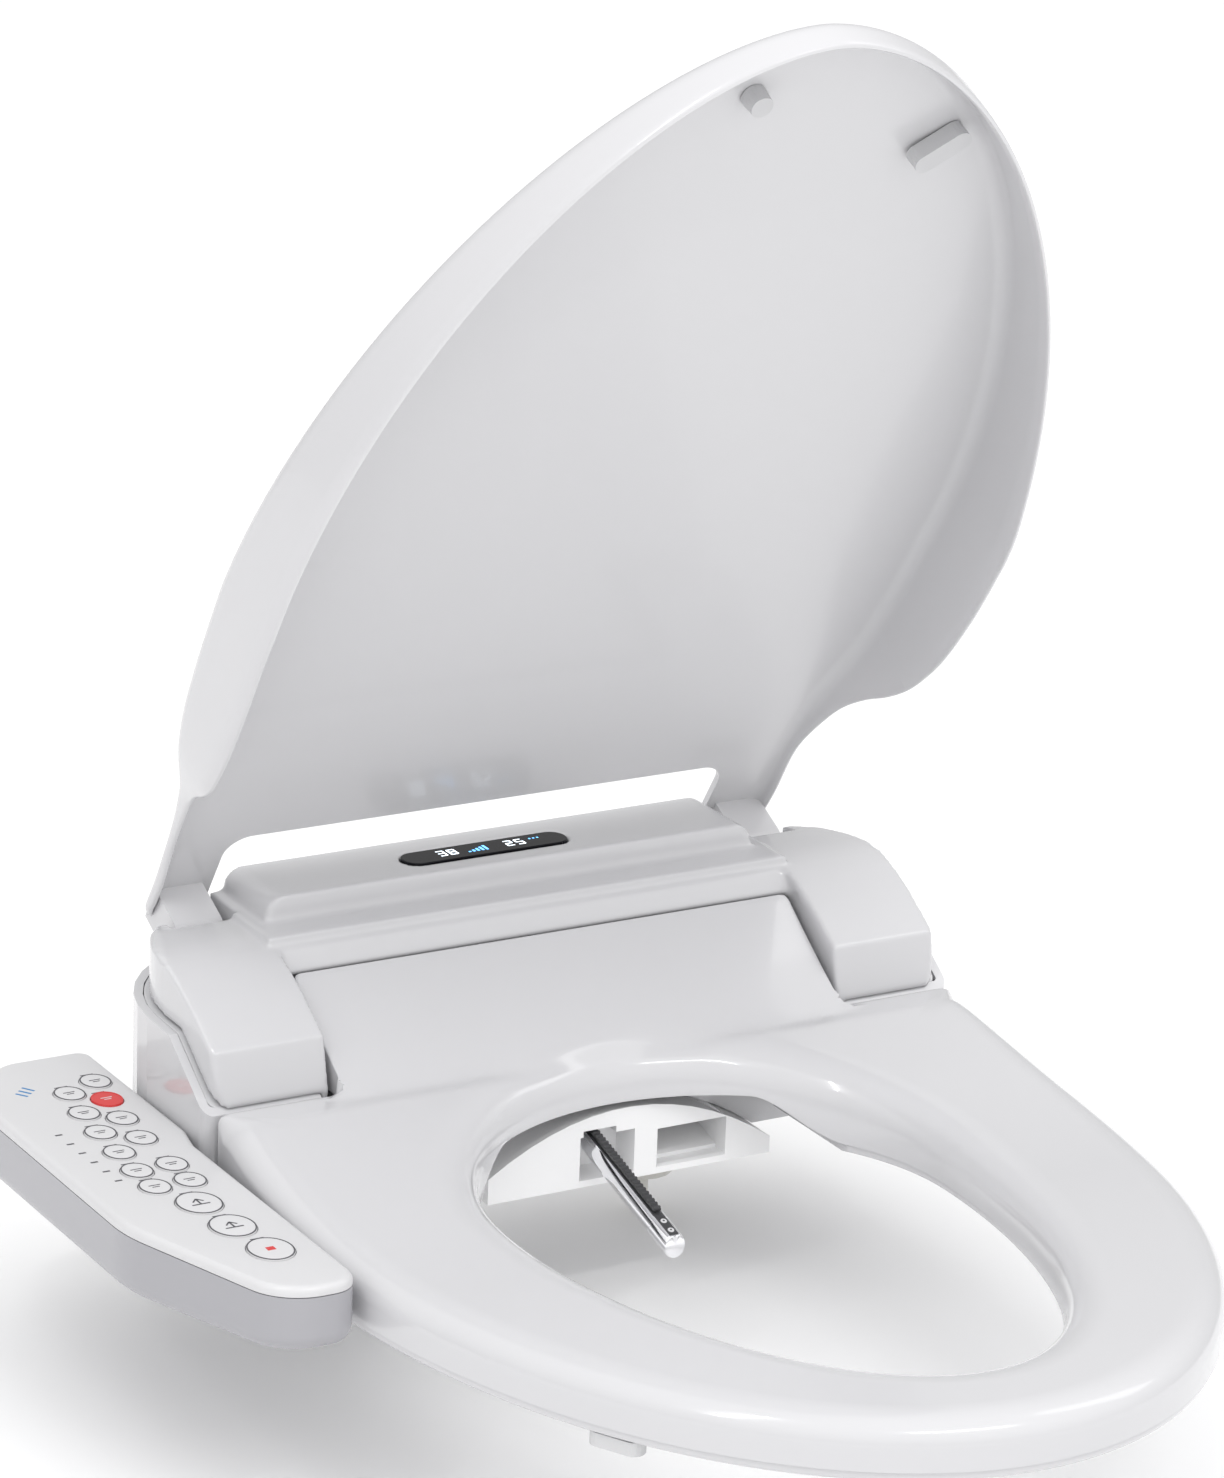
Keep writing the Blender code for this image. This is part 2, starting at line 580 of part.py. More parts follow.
def make_seat_shell(mats, parts, cutters):
    sections = [seat_section(point) for point in seat_outline()]
    rings = [list(ring) for ring in zip(*sections)]
    shell = loft("seat_shell", rings, mats["white"], parts, close_section=True)
    for side in (-1, 1):
        bore = rod("seat_shell_bore", (side * 110, *SEAT_HINGE), (side * 140, *SEAT_HINGE),
                   SEAT_PIN_RADIUS + GAP, mats["white"], cutters)
        combine(shell, bore, "DIFFERENCE")


def ring_plate(name, shrink, grow, low, high, mat, collection):
    """A flat ring between the seat's outline and its opening."""
    rings = [[], [], [], []]
    for point in seat_outline(shrink, with_tongue=False):
        outer, _, inwards, _ = seat_ray(point)
        ray = -inwards
        inner = Vector((0.0, OPENING_Y)) + ray * opening_radius(math.atan2(ray.y, ray.x), grow)
        for ring, place, height in ((0, outer, low), (1, outer, high), (2, inner, high), (3, inner, low)):
            rings[ring].append((place.x, place.y, height))
    return loft(name, rings, mat, collection, close_section=True)


def make_seat_base(mats, parts, cutters):
    """The lower plate of the seat and the heating mat over it, both open at the back, over the nozzle bay."""
    base = ring_plate("seat_base", 1.0, 1.0, SEAT_BOTTOM, SEAT_SEAM - GAP, mats["white"], parts)
    heater = ring_plate("seat_heater", 14.0, 14.0, 29.0, 30.0, mats["rubber"], parts)
    for plate in (base, heater):
        gap = box("bridge_gap", (-BRIDGE_HALF, -155, 0), (BRIDGE_HALF, -60, 40), mats["white"], cutters)
        combine(plate, gap, "DIFFERENCE")


def make_seat_bumpers(mats, parts):
    places = {"front_left": (-138, -352, 28), "front_right": (138, -352, -28),
              "rear_left": (-150, -150, 5), "rear_right": (150, -150, -5)}
    for place, (x, y, turn) in places.items():
        name = "seat_bumper_" + place
        outline = fillet([(-5, -12, 4.5), (5, -12, 4.5), (5, 12, 4.5), (-5, 12, 4.5)], 4)
        rotation = Matrix.Rotation(math.radians(turn), 2)
        turned = [tuple(rotation @ Vector(point) + Vector((x, y))) for point in outline]
        prism(name, turned, SEAT_BUMPER_LOW, SEAT_BOTTOM - GAP, mats["rubber"], parts)


def lid_plan():
    """The closed lid's outline, counter-clockwise from the right side, back round the arms."""
    steps = 32
    front = []
    for i in range(steps + 1):
        angle = math.pi * i / steps
        x = abs(math.cos(angle)) ** (2 / LID_POWER) * math.copysign(1, -math.cos(angle))
        y = math.sin(angle) ** (2 / LID_POWER)
        front.append((x * LID_HALF, LID_WIDEST_Y - y * (LID_WIDEST_Y - LID_TIP_Y)))
    return front + LID_SIDE + [(-x, y) for x, y in reversed(LID_SIDE)]


def lid_height(y):
    return LID_TOP_REAR - LID_SLOPE * (LID_REAR_Y - y)


def lid_edge(y):
    """Height of the skirt's free edge: level round the seat, then up over the housing's shoulder."""
    for (near_y, near_z), (far_y, far_z) in zip(LID_EDGE_REAR, LID_EDGE_REAR[1:]):
        if near_y < y <= far_y:
            return near_z + (far_z - near_z) * (y - near_y) / (far_y - near_y)
    return LID_EDGE_Z


def make_lid(mats, parts, cutters):
    """The lid is drawn closed, and then turned about its hinge to where it rests."""
    plan = lid_plan()
    bm = bmesh.new()
    rows = []
    for reach, drop in ((0.0, None), (0.0, 5.0), (1.6, 2.0), (6.0, 0.3)):
        row = []
        for x, y in inset(plan, reach):
            row.append(bm.verts.new((x, y, lid_edge(y) if drop is None else lid_height(y) - drop)))
        rows.append(row)
    middle = (LID_TIP_Y + LID_REAR_Y) / 2
    inner = [(x * 0.6, middle + (y - middle) * 0.6) for x, y in plan]
    rows.append([bm.verts.new((x, y, lid_height(y))) for x, y in inner])
    for near, far in zip(rows, rows[1:]):
        for i in range(len(near)):
            j = (i + 1) % len(near)
            bm.faces.new((near[i], near[j], far[j], far[i]))
    bm.faces.new(rows[-1])
    lid = to_object("lid_shell", bm, mats["lid"], parts)
    shell = lid.modifiers.new("Shell", "SOLIDIFY")
    shell.thickness = LID_WALL * MM
    shell.offset = -1.0
    slot = prism("lid_slot", fillet([(-SLOT_HALF, SLOT_FRONT_Y, 12), (SLOT_HALF, SLOT_FRONT_Y, 12),
                                     (SLOT_HALF, 60, 5), (-SLOT_HALF, 60, 5)]), 70, 150, mats["lid"], cutters)
    combine(lid, slot, "DIFFERENCE")
    for side in (-1, 1):
        low_x, high_x = sorted((side * ARM_X[0], side * ARM_X[1]))
        knuckle = prism("lid_knuckle", knuckle_outline(), low_x, high_x, mats["lid"], cutters, across="x")
        combine(lid, knuckle, "UNION")
        bore = rod("lid_bore", (side * (ARM_X[0] - 8), *LID_HINGE), (side * (ARM_X[1] - 4), *LID_HINGE),
                   LID_PIN_RADIUS + GAP, mats["lid"], cutters)
        combine(lid, bore, "DIFFERENCE")
    return lid


def knuckle_outline():
    """(y, z) of an arm's hinge end: round below, up into the plate."""
    (y, z), radius = LID_HINGE, KNUCKLE_RADIUS - 2.0
    lower = [(y + radius * math.cos(a), z + radius * math.sin(a))
             for a in [math.pi + math.pi * i / 10 for i in range(11)]]
    return lower + [(y + radius, lid_height(y + radius) - 1.5), (y - radius, lid_height(y - radius) - 1.5)]


def make_lid_bumpers(mats, parts):
    """A round stub and an oblong pad under the front of the lid, level on top where the plate slopes."""
    (stub_x, stub_y), (pad_x, pad_y) = (-20.0, -452.0), (77.0, -418.0)
    radius, half_length, half_width, turn = 5.5, 13.0, 4.5, -36.0
    stub_top = lid_height(stub_y - radius) - LID_WALL - GAP
    stub = rod("lid_bumper_stub", (stub_x, stub_y, stub_top), (stub_x, stub_y, stub_top - LID_BUMPER_HEIGHT),
               radius, mats["rubber"], parts, end_radius=radius - 0.7)
    corners = [(-half_length, -half_width), (half_length, -half_width), (half_length, half_width),
               (-half_length, half_width)]
    outline = [tuple(Matrix.Rotation(math.radians(turn), 2) @ Vector(point) + Vector((pad_x, pad_y)))
               for point in fillet([(x, y, half_width - 0.3) for x, y in corners], 4)]
    pad_top = lid_height(pad_y - half_length) - LID_WALL - GAP
    pad = prism("lid_bumper_pad", outline, pad_top - LID_BUMPER_HEIGHT, pad_top, mats["rubber"], parts)
    return stub, pad


def turn_about_hinge(obj, hinge, angle):
    """Turns an object about a hinge line along X, its front going up, and keeps its origin on that line."""
    y, z = hinge
    pivot = Vector((0, y, z)) * MM
    obj.data.transform(Matrix.Translation(-pivot))
    obj.location = pivot
    obj.rotation_euler = (-angle, 0, 0)


def make_hinge_pins(mats, parts):
    pins = (("lid_pin_", LID_HINGE, 119.5, 146, LID_PIN_RADIUS),
            ("seat_pin_", SEAT_HINGE, 112, 136, SEAT_PIN_RADIUS))
    for side, word in ((-1, "left"), (1, "right")):
        for name, hinge, near, far, radius in pins:
            rod(name + word, (side * near, *hinge), (side * far, *hinge), radius, mats["steel"], parts)


def panel_floor(y):
    """Height of the case's underside, level at the back and rising to the front end."""
    front_y = min(corner[1] for corner in PANEL_OUTLINE)
    return PANEL_BOTTOM + PANEL_RISE * max(0.0, (PANEL_RISE_Y - y) / (PANEL_RISE_Y - front_y)) ** 2


def make_panel(mats, parts, cutters):
    plan = fillet(PANEL_OUTLINE, 7)[::-1]
    rings = []
    for reach, lift in ((PANEL_ROUND, 0.0), (PANEL_ROUND * 0.3, PANEL_ROUND * 0.3), (0.0, PANEL_ROUND)):
        rings.append([(x, y, panel_floor(y) + lift) for x, y in inset(plan, reach)])
    rings.append([(x, y, PANEL_SPLIT - GAP) for x, y in plan])
    case = loft("panel_case", rings, mats["white"], parts, close_section=False)
    inner = inset(plan, PANEL_WALL)
    inside = [[(x, y, panel_floor(y) + PANEL_WALL + 1.0) for x, y in inner],
              [(x, y, PANEL_TOP) for x, y in inner]]
    hollow = loft("panel_hollow", inside, mats["white"], cutters, close_section=False)
    combine(case, hollow, "DIFFERENCE")
    top = prism("panel_top", plan, PANEL_SPLIT, PANEL_TOP, mats["white"], parts)
    for name, (x, y), (half_x, half_y) in keys():
        hole = prism(name + "_hole", oval(x, y, half_x + GAP, half_y + GAP), 30, 60, mats["white"], cutters)
        combine(top, hole, "DIFFERENCE")
        colour = mats["red"] if name == "key_power" else mats["key"]
        prism(name, oval(x, y, half_x, half_y), KEY_BOTTOM, PANEL_TOP + KEY_PROUD, colour, parts)
    prism("panel_board", inset(plan, 6.0), 33.0, 34.6, mats["board"], parts)


def keys():
    small = [(name, place, SMALL_KEY) for name, place in SMALL_KEYS.items()]
    return small + [(name, place, LARGE_KEY) for name, place in LARGE_KEYS.items()]


def oval(x, y, half_x, half_y, sides=16):
    angles = [2 * math.pi * i / sides for i in range(sides)]
    return [(x + half_x * math.cos(angle), y + half_y * math.sin(angle)) for angle in angles]


def make_fastening(mats, parts, cutters):
    length, depth, height = PLATE_SIZE
    plate = box("mounting_plate", (-length, -depth, 0), (length, depth, height), mats["steel"], parts)
    for side, word in ((-1, "left"), (1, "right")):
        x = side * BOLT_X
        slot = box("bolt_slot", (x - 4.6, -12, -5), (x + 4.6, 12, height + 5), mats["steel"], cutters)
        combine(plate, slot, "DIFFERENCE")
        bolt = rod("mounting_bolt_" + word, (x, 0, BOLT_LOW), (x, 0, height + 1), BOLT_RADIUS,
                   mats["nylon"], parts)
        head = rod("bolt_head", (x, 0, height + GAP), (x, 0, height + 4), 11, mats["nylon"], cutters)
        combine(bolt, head, "UNION")
        nut = rod("mounting_nut_" + word, (x, 0, -46), (x, 0, -26), 15, mats["nylon"], parts,
                  end_radius=9, sides=16)
        bore = rod("nut_bore", (x, 0, -60), (x, 0, -10), BOLT_RADIUS + GAP, mats["nylon"], cutters)
        combine(nut, bore, "DIFFERENCE")


def make_services(mats, parts, cutters):
    """The working parts in the housing and the fittings through its walls."""
    box("water_tank", (-122, -22, 18), (-42, 20, 76), mats["tank"], parts, bevel=6)
    box("main_board", (-172, -70, 34), (-134, -4, 35.6), mats["board"], parts)
    valve = box("solenoid_valve", (66, -20, 18), (92, 8, 44), mats["nylon"], parts, bevel=2)
    combine(valve, rod("valve_coil", (79, -6, 40), (79, -6, 60), 9, mats["steel"], cutters), "UNION")
    rod("dryer_fan", (150, -34, 20), (150, -34, 46), 18, mats["dark"], parts)
    box("dryer_duct", (30, -57, 19), (61, -24, 36), mats["dark"], parts)
    hollow = box("duct_hollow", (32, -70, 21), (59, -10, 34), mats["dark"], cutters)
    combine(bpy.data.objects["dryer_duct"], hollow, "DIFFERENCE")
    box("display_board", (-44, -4, 111), (34, 20, 112.6), mats["board"], parts)
    prism("display_lens", lens_outline(), HUMP_TOP - 4.5, HUMP_TOP + 0.5, mats["lens"], parts)
    fittings = (("water_inlet", 9.0, "brass"), ("power_gland", 4.0, "rubber"), ("drain_plug", -2.0, "nylon"),
                ("release_button", -2.0, "white"))
    for (_, start, end, radius), (node, proud, mat) in zip(tray_bores(), fittings):
        along = (Vector(end) - Vector(start)).normalized()
        rod(node, start, Vector(end) + along * proud, radius, mats[mat], parts)


def make_materials():
    return {
        "white": material("gloss_white", (0.83, 0.83, 0.85), 0.18),
        "lid": material("lid_white", (0.80, 0.80, 0.82), 0.25),
        "key": material("key_white", (0.86, 0.86, 0.88), 0.35),
        "red": material("key_red", (0.75, 0.06, 0.07), 0.35),
        "chrome": material("chrome", (0.80, 0.80, 0.82), 0.08, 1.0),
        "steel": material("steel", (0.60, 0.60, 0.62), 0.35, 1.0),
        "brass": material("brass", (0.78, 0.62, 0.36), 0.30, 1.0),
        "dark": material("dark_plastic", (0.06, 0.06, 0.065), 0.40),
        "lens": material("display_black", (0.01, 0.01, 0.012), 0.05),
        "rubber": material("grey_rubber", (0.62, 0.62, 0.63), 0.60),
        "nylon": material("nylon", (0.80, 0.79, 0.75), 0.45),
        "board": material("circuit_board", (0.05, 0.28, 0.12), 0.45),
        "tank": material("tank_plastic", (0.72, 0.74, 0.76), 0.35),
    }


def main():
    clear_scene()
    parts = new_collection("electric_bidet_seat")
    cutters = new_collection("cutters")
    mats = make_materials()
    make_fastening(mats, parts, cutters)
    make_base_tray(mats, parts, cutters)
    make_top_cover(mats, parts, cutters)
    make_services(mats, parts, cutters)
    make_nozzle_guide(mats, parts, cutters)
    make_nozzle(mats, parts, cutters)
    make_pinion(mats, parts)
    make_nozzle_motor(mats, parts, cutters)
    make_panel(mats, parts, cutters)
    make_seat_shell(mats, parts, cutters)
    make_seat_base(mats, parts, cutters)
    make_seat_bumpers(mats, parts)
    lid = make_lid(mats, parts, cutters)
    bumpers = make_lid_bumpers(mats, parts)
    make_hinge_pins(mats, parts)
    # The lid's cutters turn with it, so each is parented to it before the turn.
    followers = [modifier.object for modifier in lid.modifiers if modifier.type == "BOOLEAN"]
    for obj in (lid, *bumpers, *followers):
        turn_about_hinge(obj, LID_HINGE, LID_OPENING)


main()
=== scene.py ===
"""Looks of the electric bidet seat: smooth lid, seat, housing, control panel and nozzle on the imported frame.

Lengths are in millimetres until a mesh is made, +Z up, -Y the front, +X on the viewer's right.
"""
import json
import math

import bmesh
import bpy
from mathutils import Matrix, Vector


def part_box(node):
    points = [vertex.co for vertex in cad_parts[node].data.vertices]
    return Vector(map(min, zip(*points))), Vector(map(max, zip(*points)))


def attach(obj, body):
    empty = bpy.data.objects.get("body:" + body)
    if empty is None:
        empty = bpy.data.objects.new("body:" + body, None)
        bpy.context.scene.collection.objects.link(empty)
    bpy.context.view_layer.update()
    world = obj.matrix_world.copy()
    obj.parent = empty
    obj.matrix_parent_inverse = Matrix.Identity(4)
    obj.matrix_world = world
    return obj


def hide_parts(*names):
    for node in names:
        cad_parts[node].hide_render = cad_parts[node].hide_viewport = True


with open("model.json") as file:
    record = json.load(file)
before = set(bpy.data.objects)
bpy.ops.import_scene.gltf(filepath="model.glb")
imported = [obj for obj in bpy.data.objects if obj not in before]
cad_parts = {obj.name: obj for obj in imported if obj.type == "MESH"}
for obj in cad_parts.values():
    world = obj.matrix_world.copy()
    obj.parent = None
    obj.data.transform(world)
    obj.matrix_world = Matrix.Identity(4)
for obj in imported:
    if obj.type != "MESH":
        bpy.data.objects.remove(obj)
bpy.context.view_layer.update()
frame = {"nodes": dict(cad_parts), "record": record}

MM = 0.001

# Lid, drawn shut and then turned up about its hinge
LID_HINGE = (20.0, 95.0)
LID_OPENING = math.radians(63.5)
LID_HALF, LID_WIDEST_Y, LID_TIP_Y, LID_REAR_Y = 180.0, -190.0, -490.0, 30.0
LID_POWER = 1.8
LID_EDGE_Z = 45.0
LID_WALL = 3.2
LID_SIDE = [(179.4, -170.0), (178.6, -150.0), (177.4, -130.0), (176.0, -115.0), (173.4, -98.0),
            (170.5, -86.0), (163.5, -62.0), (158.5, -34.0), (157.0, -6.0), (156.5, 18.0)]
# (y, z) of the skirt's free edge when shut, just above the seat and then the housing's shoulder
LID_EDGE = [(-230.0, LID_EDGE_Z), (-205.0, LID_EDGE_Z), (-170.0, 48.5), (-150.0, 51.5), (-130.0, 55.5),
            (-115.0, 60.0), (-100.0, 66.5), (-88.0, 75.0), (-78.0, 84.5), (-66.0, 93.0), (-52.0, 99.0),
            (-28.0, 106.0), (0.0, 108.0), (18.0, 111.0), (LID_REAR_Y, 115.0)]
SLOT_HALF, SLOT_FRONT_Y = 126.0, -18.0
ARM_X = (131.0, 153.5)

# Seat
SEAT_HALF, SEAT_WIDEST_Y, SEAT_TIP_Y = 188.0, -186.0, -455.0
SEAT_POWER = 1.98
SEAT_REAR_Y, SEAT_REAR_HALF = -87.0, 182.5
TONGUE_HALF, TONGUE_REAR_Y = 124.0, -40.0
SEAT_TOP, SEAT_SEAM, SEAT_BOTTOM = 40.0, 19.3, 14.8
# (radius, depth) of the rounding along each edge
SEAT_EDGE, REAR_EDGE, TONGUE_EDGE, OPENING_EDGE = (17.0, 11.0), (5.0, 4.0), (2.0, 1.0), (22.0, 13.0)
RAMP_START_Y, RAMP_LENGTH, RAMP_RISE = -257.0, 152.0, 17.0
TONGUE_START_Y, TONGUE_LENGTH, TONGUE_RISE, TONGUE_POWER = -97.0, 55.5, 37.4, 1.12
TONGUE_LOW, BRIDGE_LOW = 54.0, 36.0  # undersides of the tongue and of the bridge over the nozzle
BRIDGE_HALF, BRIDGE_FLAT_HALF = 92.0, 60.0
OPENING_HALF, OPENING_Y, OPENING_FRONT, OPENING_REAR = 106.3, -203.0, 196.6, 100.6

# Housing
COVER_HALF, COVER_REAR_Y, COVER_FRONT_Y = 180.0, 34.0, -83.5
CORNER_RADIUS = 64.0
SHOULDER = [(-83.5, 55.5), (-77.5, 80.0), (-52.0, 95.5), (-28.0, 104.5), (0.0, 105.5), (20.0, 102.5),
            (34.0, 96.0)]
HUMP_TOP, HUMP_HALF, HUMP_LOW, HUMP_FRONT_Y = 119.0, 122.5, 90, -12
BAY_HALF, BAY_FLOOR, BAY_REAR_Y = 127.0, 46.0, -28
WALL_FOOT, WALL_TOP = (-38.9, 93.2), (-30, 108)  # (y, z) of the wall behind the seat
ABOVE = 130  # a height clear of the housing, where its cutters end
LENS_MIDDLE, LENS_HALF = (-5.0, 7.5), (41.0, 7.6)

# Nozzle
NOZZLE_SLOPE = math.radians(15.5)
NOZZLE_TIP = (-4.0, -170.0, -5.0)
NOZZLE_RADIUS, NOZZLE_LENGTH = 5.3, 118.0

# Control panel
PANEL_BOTTOM, PANEL_SPLIT, PANEL_TOP = 13.0, 39.6, 44.0
CASE_ROUND, FACE_ROUND = 7, 3.2  # radii of its lower and upper edges
# the underside rises by PANEL_RISE from PANEL_RISE_Y to the front end
PANEL_RISE_Y, PANEL_RISE, PANEL_FRONT_Y = -165.0, 2.5, -238.0
PANEL_OUTLINE = [(-187.0, 33.0, 7.0), (-187.0, -68.0, 10.0), (-190.5, -84.0, 10.0), (-190.5, -238.0, 12.0),
                 (-226.0, -238.0, 25.0), (-254.0, -150.0, 75.0), (-254.0, -12.0, 34.0), (-232.0, 33.0, 18.0)]


# ---------- meshes ----------

def make_object(name, verts, faces, smooth=True):
    """Vertices in millimetres and faces as an object in metres, its faces pointing out."""
    mesh = bpy.data.meshes.new(name)
    mesh.from_pydata([Vector(v) * MM for v in verts], [], faces)
    bm = bmesh.new()
    bm.from_mesh(mesh)
    bmesh.ops.remove_doubles(bm, verts=bm.verts, dist=1e-7)
    bmesh.ops.recalc_face_normals(bm, faces=bm.faces)
    bm.to_mesh(mesh)
    bm.free()
    if smooth:
        mesh.shade_smooth()
    obj = bpy.data.objects.new(name, mesh)
    bpy.context.scene.collection.objects.link(obj)
    return obj


def loft(name, rings, closed=True, smooth=True):
    """Quads between closed rings of equal length; the section closes on itself or is capped at its ends."""
    count = len(rings[0])
    verts = [point for ring in rings for point in ring]
    faces = []
    spans = len(rings) if closed else len(rings) - 1
    for r in range(spans):
        a, b = r * count, ((r + 1) % len(rings)) * count
        faces += [(a + i, a + (i + 1) % count, b + (i + 1) % count, b + i) for i in range(count)]
    if not closed:
        faces.append(tuple(range(count)))
        faces.append(tuple(range((len(rings) - 1) * count, len(rings) * count)))
    return make_object(name, verts, faces, smooth)


def prism(name, outline, low, high, across="z", smooth=False):
    place = {"z": lambda a, b, h: (a, b, h), "x": lambda a, b, h: (h, a, b),
             "y": lambda a, b, h: (a, h, b)}[across]
    ends = [[place(a, b, h) for a, b in outline] for h in (low, high)]
    return loft(name, ends, closed=False, smooth=smooth)


def block(name, low, high):
    (x0, y0, z0), (x1, y1, z1) = low, high
    return prism(name, [(x0, y0), (x1, y0), (x1, y1), (x0, y1)], z0, z1)


def tube(name, start, end, radius, end_radius=None, sides=48, smooth=False):
    """A round bar or cone from start to end."""
    start, end = Vector(start), Vector(end)
    along = (end - start).normalized()
    side = along.orthogonal().normalized()
    up = along.cross(side)
    rings = []
    for centre, r in ((start, radius), (end, radius if end_radius is None else end_radius)):
        rings.append([centre + (side * math.cos(a) + up * math.sin(a)) * r
                      for a in (2 * math.pi * i / sides for i in range(sides))])
    return loft(name, rings, closed=False, smooth=smooth)


def fillet(corners, steps=10):
    """An outline with each corner (a, b, radius) rounded by an arc."""
    points = []
    for i, (x, y, radius) in enumerate(corners):
        here = Vector((x, y))
        back = (Vector(corners[i - 1][:2]) - here).normalized()
        ahead = (Vector(corners[(i + 1) % len(corners)][:2]) - here).normalized()
        half = back.angle(ahead) / 2
        reach = radius / math.tan(half)
        centre = here + (back + ahead).normalized() * (radius / math.sin(half))
        first = here + back * reach - centre
        sweep = first.angle_signed(here + ahead * reach - centre)
        for step in range(steps + 1):
            points.append(tuple(centre + Matrix.Rotation(-sweep * step / steps, 2) @ first))
    return points


def inset(outline, distance):
    """The counter-clockwise outline moved inwards along its corner normals."""
    moved = []
    for i, point in enumerate(outline):
        here = Vector(point)
        back = (here - Vector(outline[i - 1])).normalized()
        ahead = (Vector(outline[(i + 1) % len(outline)]) - here).normalized()
        both = back + ahead
        moved.append(tuple(here + Vector((-both.y, both.x)).normalized() * distance))
    return moved


def spline(points, steps):
    """A smooth open curve through the points (Catmull-Rom)."""
    before = 2 * Vector(points[0]) - Vector(points[1])
    after = 2 * Vector(points[-1]) - Vector(points[-2])
    ends = [before, *map(Vector, points), after]
    curve = []
    for a, b, c, d in zip(ends, ends[1:], ends[2:], ends[3:]):
        for step in range(steps):
            t = step / steps
            curve.append(tuple(0.5 * (2 * b + (c - a) * t + (2 * a - 5 * b + 4 * c - d) * t * t
                                      + (3 * b - a - 3 * c + d) * t ** 3)))
    return curve + [tuple(points[-1])]


def combine(target, cutters, operation="DIFFERENCE"):
    """Cuts or joins the others into the target, for good, and removes them."""
    for cutter in cutters:
        modifier = target.modifiers.new("Cut", "BOOLEAN")
        modifier.operation = operation
        modifier.object = cutter
    apply_modifiers(target)
    for cutter in cutters:
        bpy.data.objects.remove(cutter, do_unlink=True)
    return target


def apply_modifiers(obj):
    bpy.context.view_layer.update()
    graph = bpy.context.evaluated_depsgraph_get()
    mesh = bpy.data.meshes.new_from_object(obj.evaluated_get(graph))
    obj.modifiers.clear()
    obj.data = mesh
    return obj


def moulded(obj, voxel, rounds):
    """Remeshes a sharp solid finely and relaxes it, so that every edge is rounded like a moulding's."""
    remesh = obj.modifiers.new("Remesh", "REMESH")
    remesh.mode = "VOXEL"
    remesh.voxel_size = voxel * MM
    relax = obj.modifiers.new("Relax", "SMOOTH")
    relax.factor = 0.5
    relax.iterations = rounds
    apply_modifiers(obj)
    obj.data.shade_smooth()
    return obj


def rounded(obj, width, segments=3, angle=35):
    bevel = obj.modifiers.new("Bevel", "BEVEL")
    bevel.width = width * MM
    bevel.segments = segments
    bevel.angle_limit = math.radians(angle)
    bevel.harden_normals = True
    obj.data.shade_smooth()
    return obj


def finish_piece(obj, mat, body, *nodes, slot=None):
    obj.data.materials.clear()
    obj.data.materials.append(mat)
    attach(obj, body)
    if nodes:
        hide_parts(*nodes)
    return obj


# ---------- materials ----------

GLOSS_WHITE = (0.59, 0.588, 0.603)
# The lid's tones are painted light: the outside a touch lighter than the housing's white, the large face
# inside it lighter again.
LID_SKIRT_WHITE = (0.60, 0.597, 0.612)
LID_INSIDE_PAINTED_LIGHT = (0.64, 0.638, 0.651)
# The panel case's colour is painted shade: darker than the housing's white, so that its side looks shaded
# under any light.
CASE_PAINTED_SHADE = (0.36, 0.357, 0.38)
# The nozzle guide's colour is painted light: lighter than the housing's white, to lift it out of the shade
# under the seat.
GUIDE_PAINTED_LIGHT = (0.86, 0.86, 0.865)


def shader_of(name):
    mat = bpy.data.materials.new(name)
    mat.use_nodes = True
    return mat, mat.node_tree.nodes["Principled BSDF"]


def noise(mat, scale, detail=3.0):
    nodes, links = mat.node_tree.nodes, mat.node_tree.links
    place = nodes.new("ShaderNodeTexCoord")
    texture = nodes.new("ShaderNodeTexNoise")
    texture.inputs["Scale"].default_value = scale
    texture.inputs["Detail"].default_value = detail
    links.new(place.outputs["Object"], texture.inputs["Vector"])
    return texture


def tint(mat, shader, low, high, scale):
    """Base colour that drifts between two close tones."""
    ramp = mat.node_tree.nodes.new("ShaderNodeValToRGB")
    ramp.color_ramp.elements[0].position = 0.3
    ramp.color_ramp.elements[1].position = 0.7
    ramp.color_ramp.elements[0].color = (*low, 1.0)
    ramp.color_ramp.elements[1].color = (*high, 1.0)
    mat.node_tree.links.new(noise(mat, scale).outputs["Fac"], ramp.inputs["Fac"])
    mat.node_tree.links.new(ramp.outputs["Color"], shader.inputs["Base Color"])


def roughen(mat, shader, low, high, scale):
    span = mat.node_tree.nodes.new("ShaderNodeMapRange")
    span.inputs["From Min"].default_value = 0.3
    span.inputs["From Max"].default_value = 0.7
    span.inputs["To Min"].default_value = low
    span.inputs["To Max"].default_value = high
    mat.node_tree.links.new(noise(mat, scale).outputs["Fac"], span.inputs["Value"])
    mat.node_tree.links.new(span.outputs["Result"], shader.inputs["Roughness"])


def grain(mat, shader, scale, strength, depth):
    bump = mat.node_tree.nodes.new("ShaderNodeBump")
    bump.inputs["Strength"].default_value = strength
    bump.inputs["Distance"].default_value = depth
    mat.node_tree.links.new(noise(mat, scale, 4.0).outputs["Fac"], bump.inputs["Height"])
    mat.node_tree.links.new(bump.outputs["Normal"], shader.inputs["Normal"])


def moulded_plastic(name, colour, roughness, coat=0.0, drift=0.004, grit=0.008):
    mat, shader = shader_of(name)
    tint(mat, shader, [c - drift for c in colour], [c + drift for c in colour], 4.0)
    roughen(mat, shader, roughness * 0.97, roughness * 1.04, 25.0)
    grain(mat, shader, 1400.0, grit, 0.00004)
    shader.inputs["Coat Weight"].default_value = coat
    shader.inputs["Coat Roughness"].default_value = 0.05
    return mat


def metal(name, colour, roughness):
    mat, shader = shader_of(name)
    tint(mat, shader, [c * 0.96 for c in colour], [min(1.0, c * 1.03) for c in colour], 60.0)
    roughen(mat, shader, roughness * 0.7, roughness * 1.4, 180.0)
    grain(mat, shader, 700.0, 0.05, 0.00005)
    shader.inputs["Metallic"].default_value = 1.0
    return mat


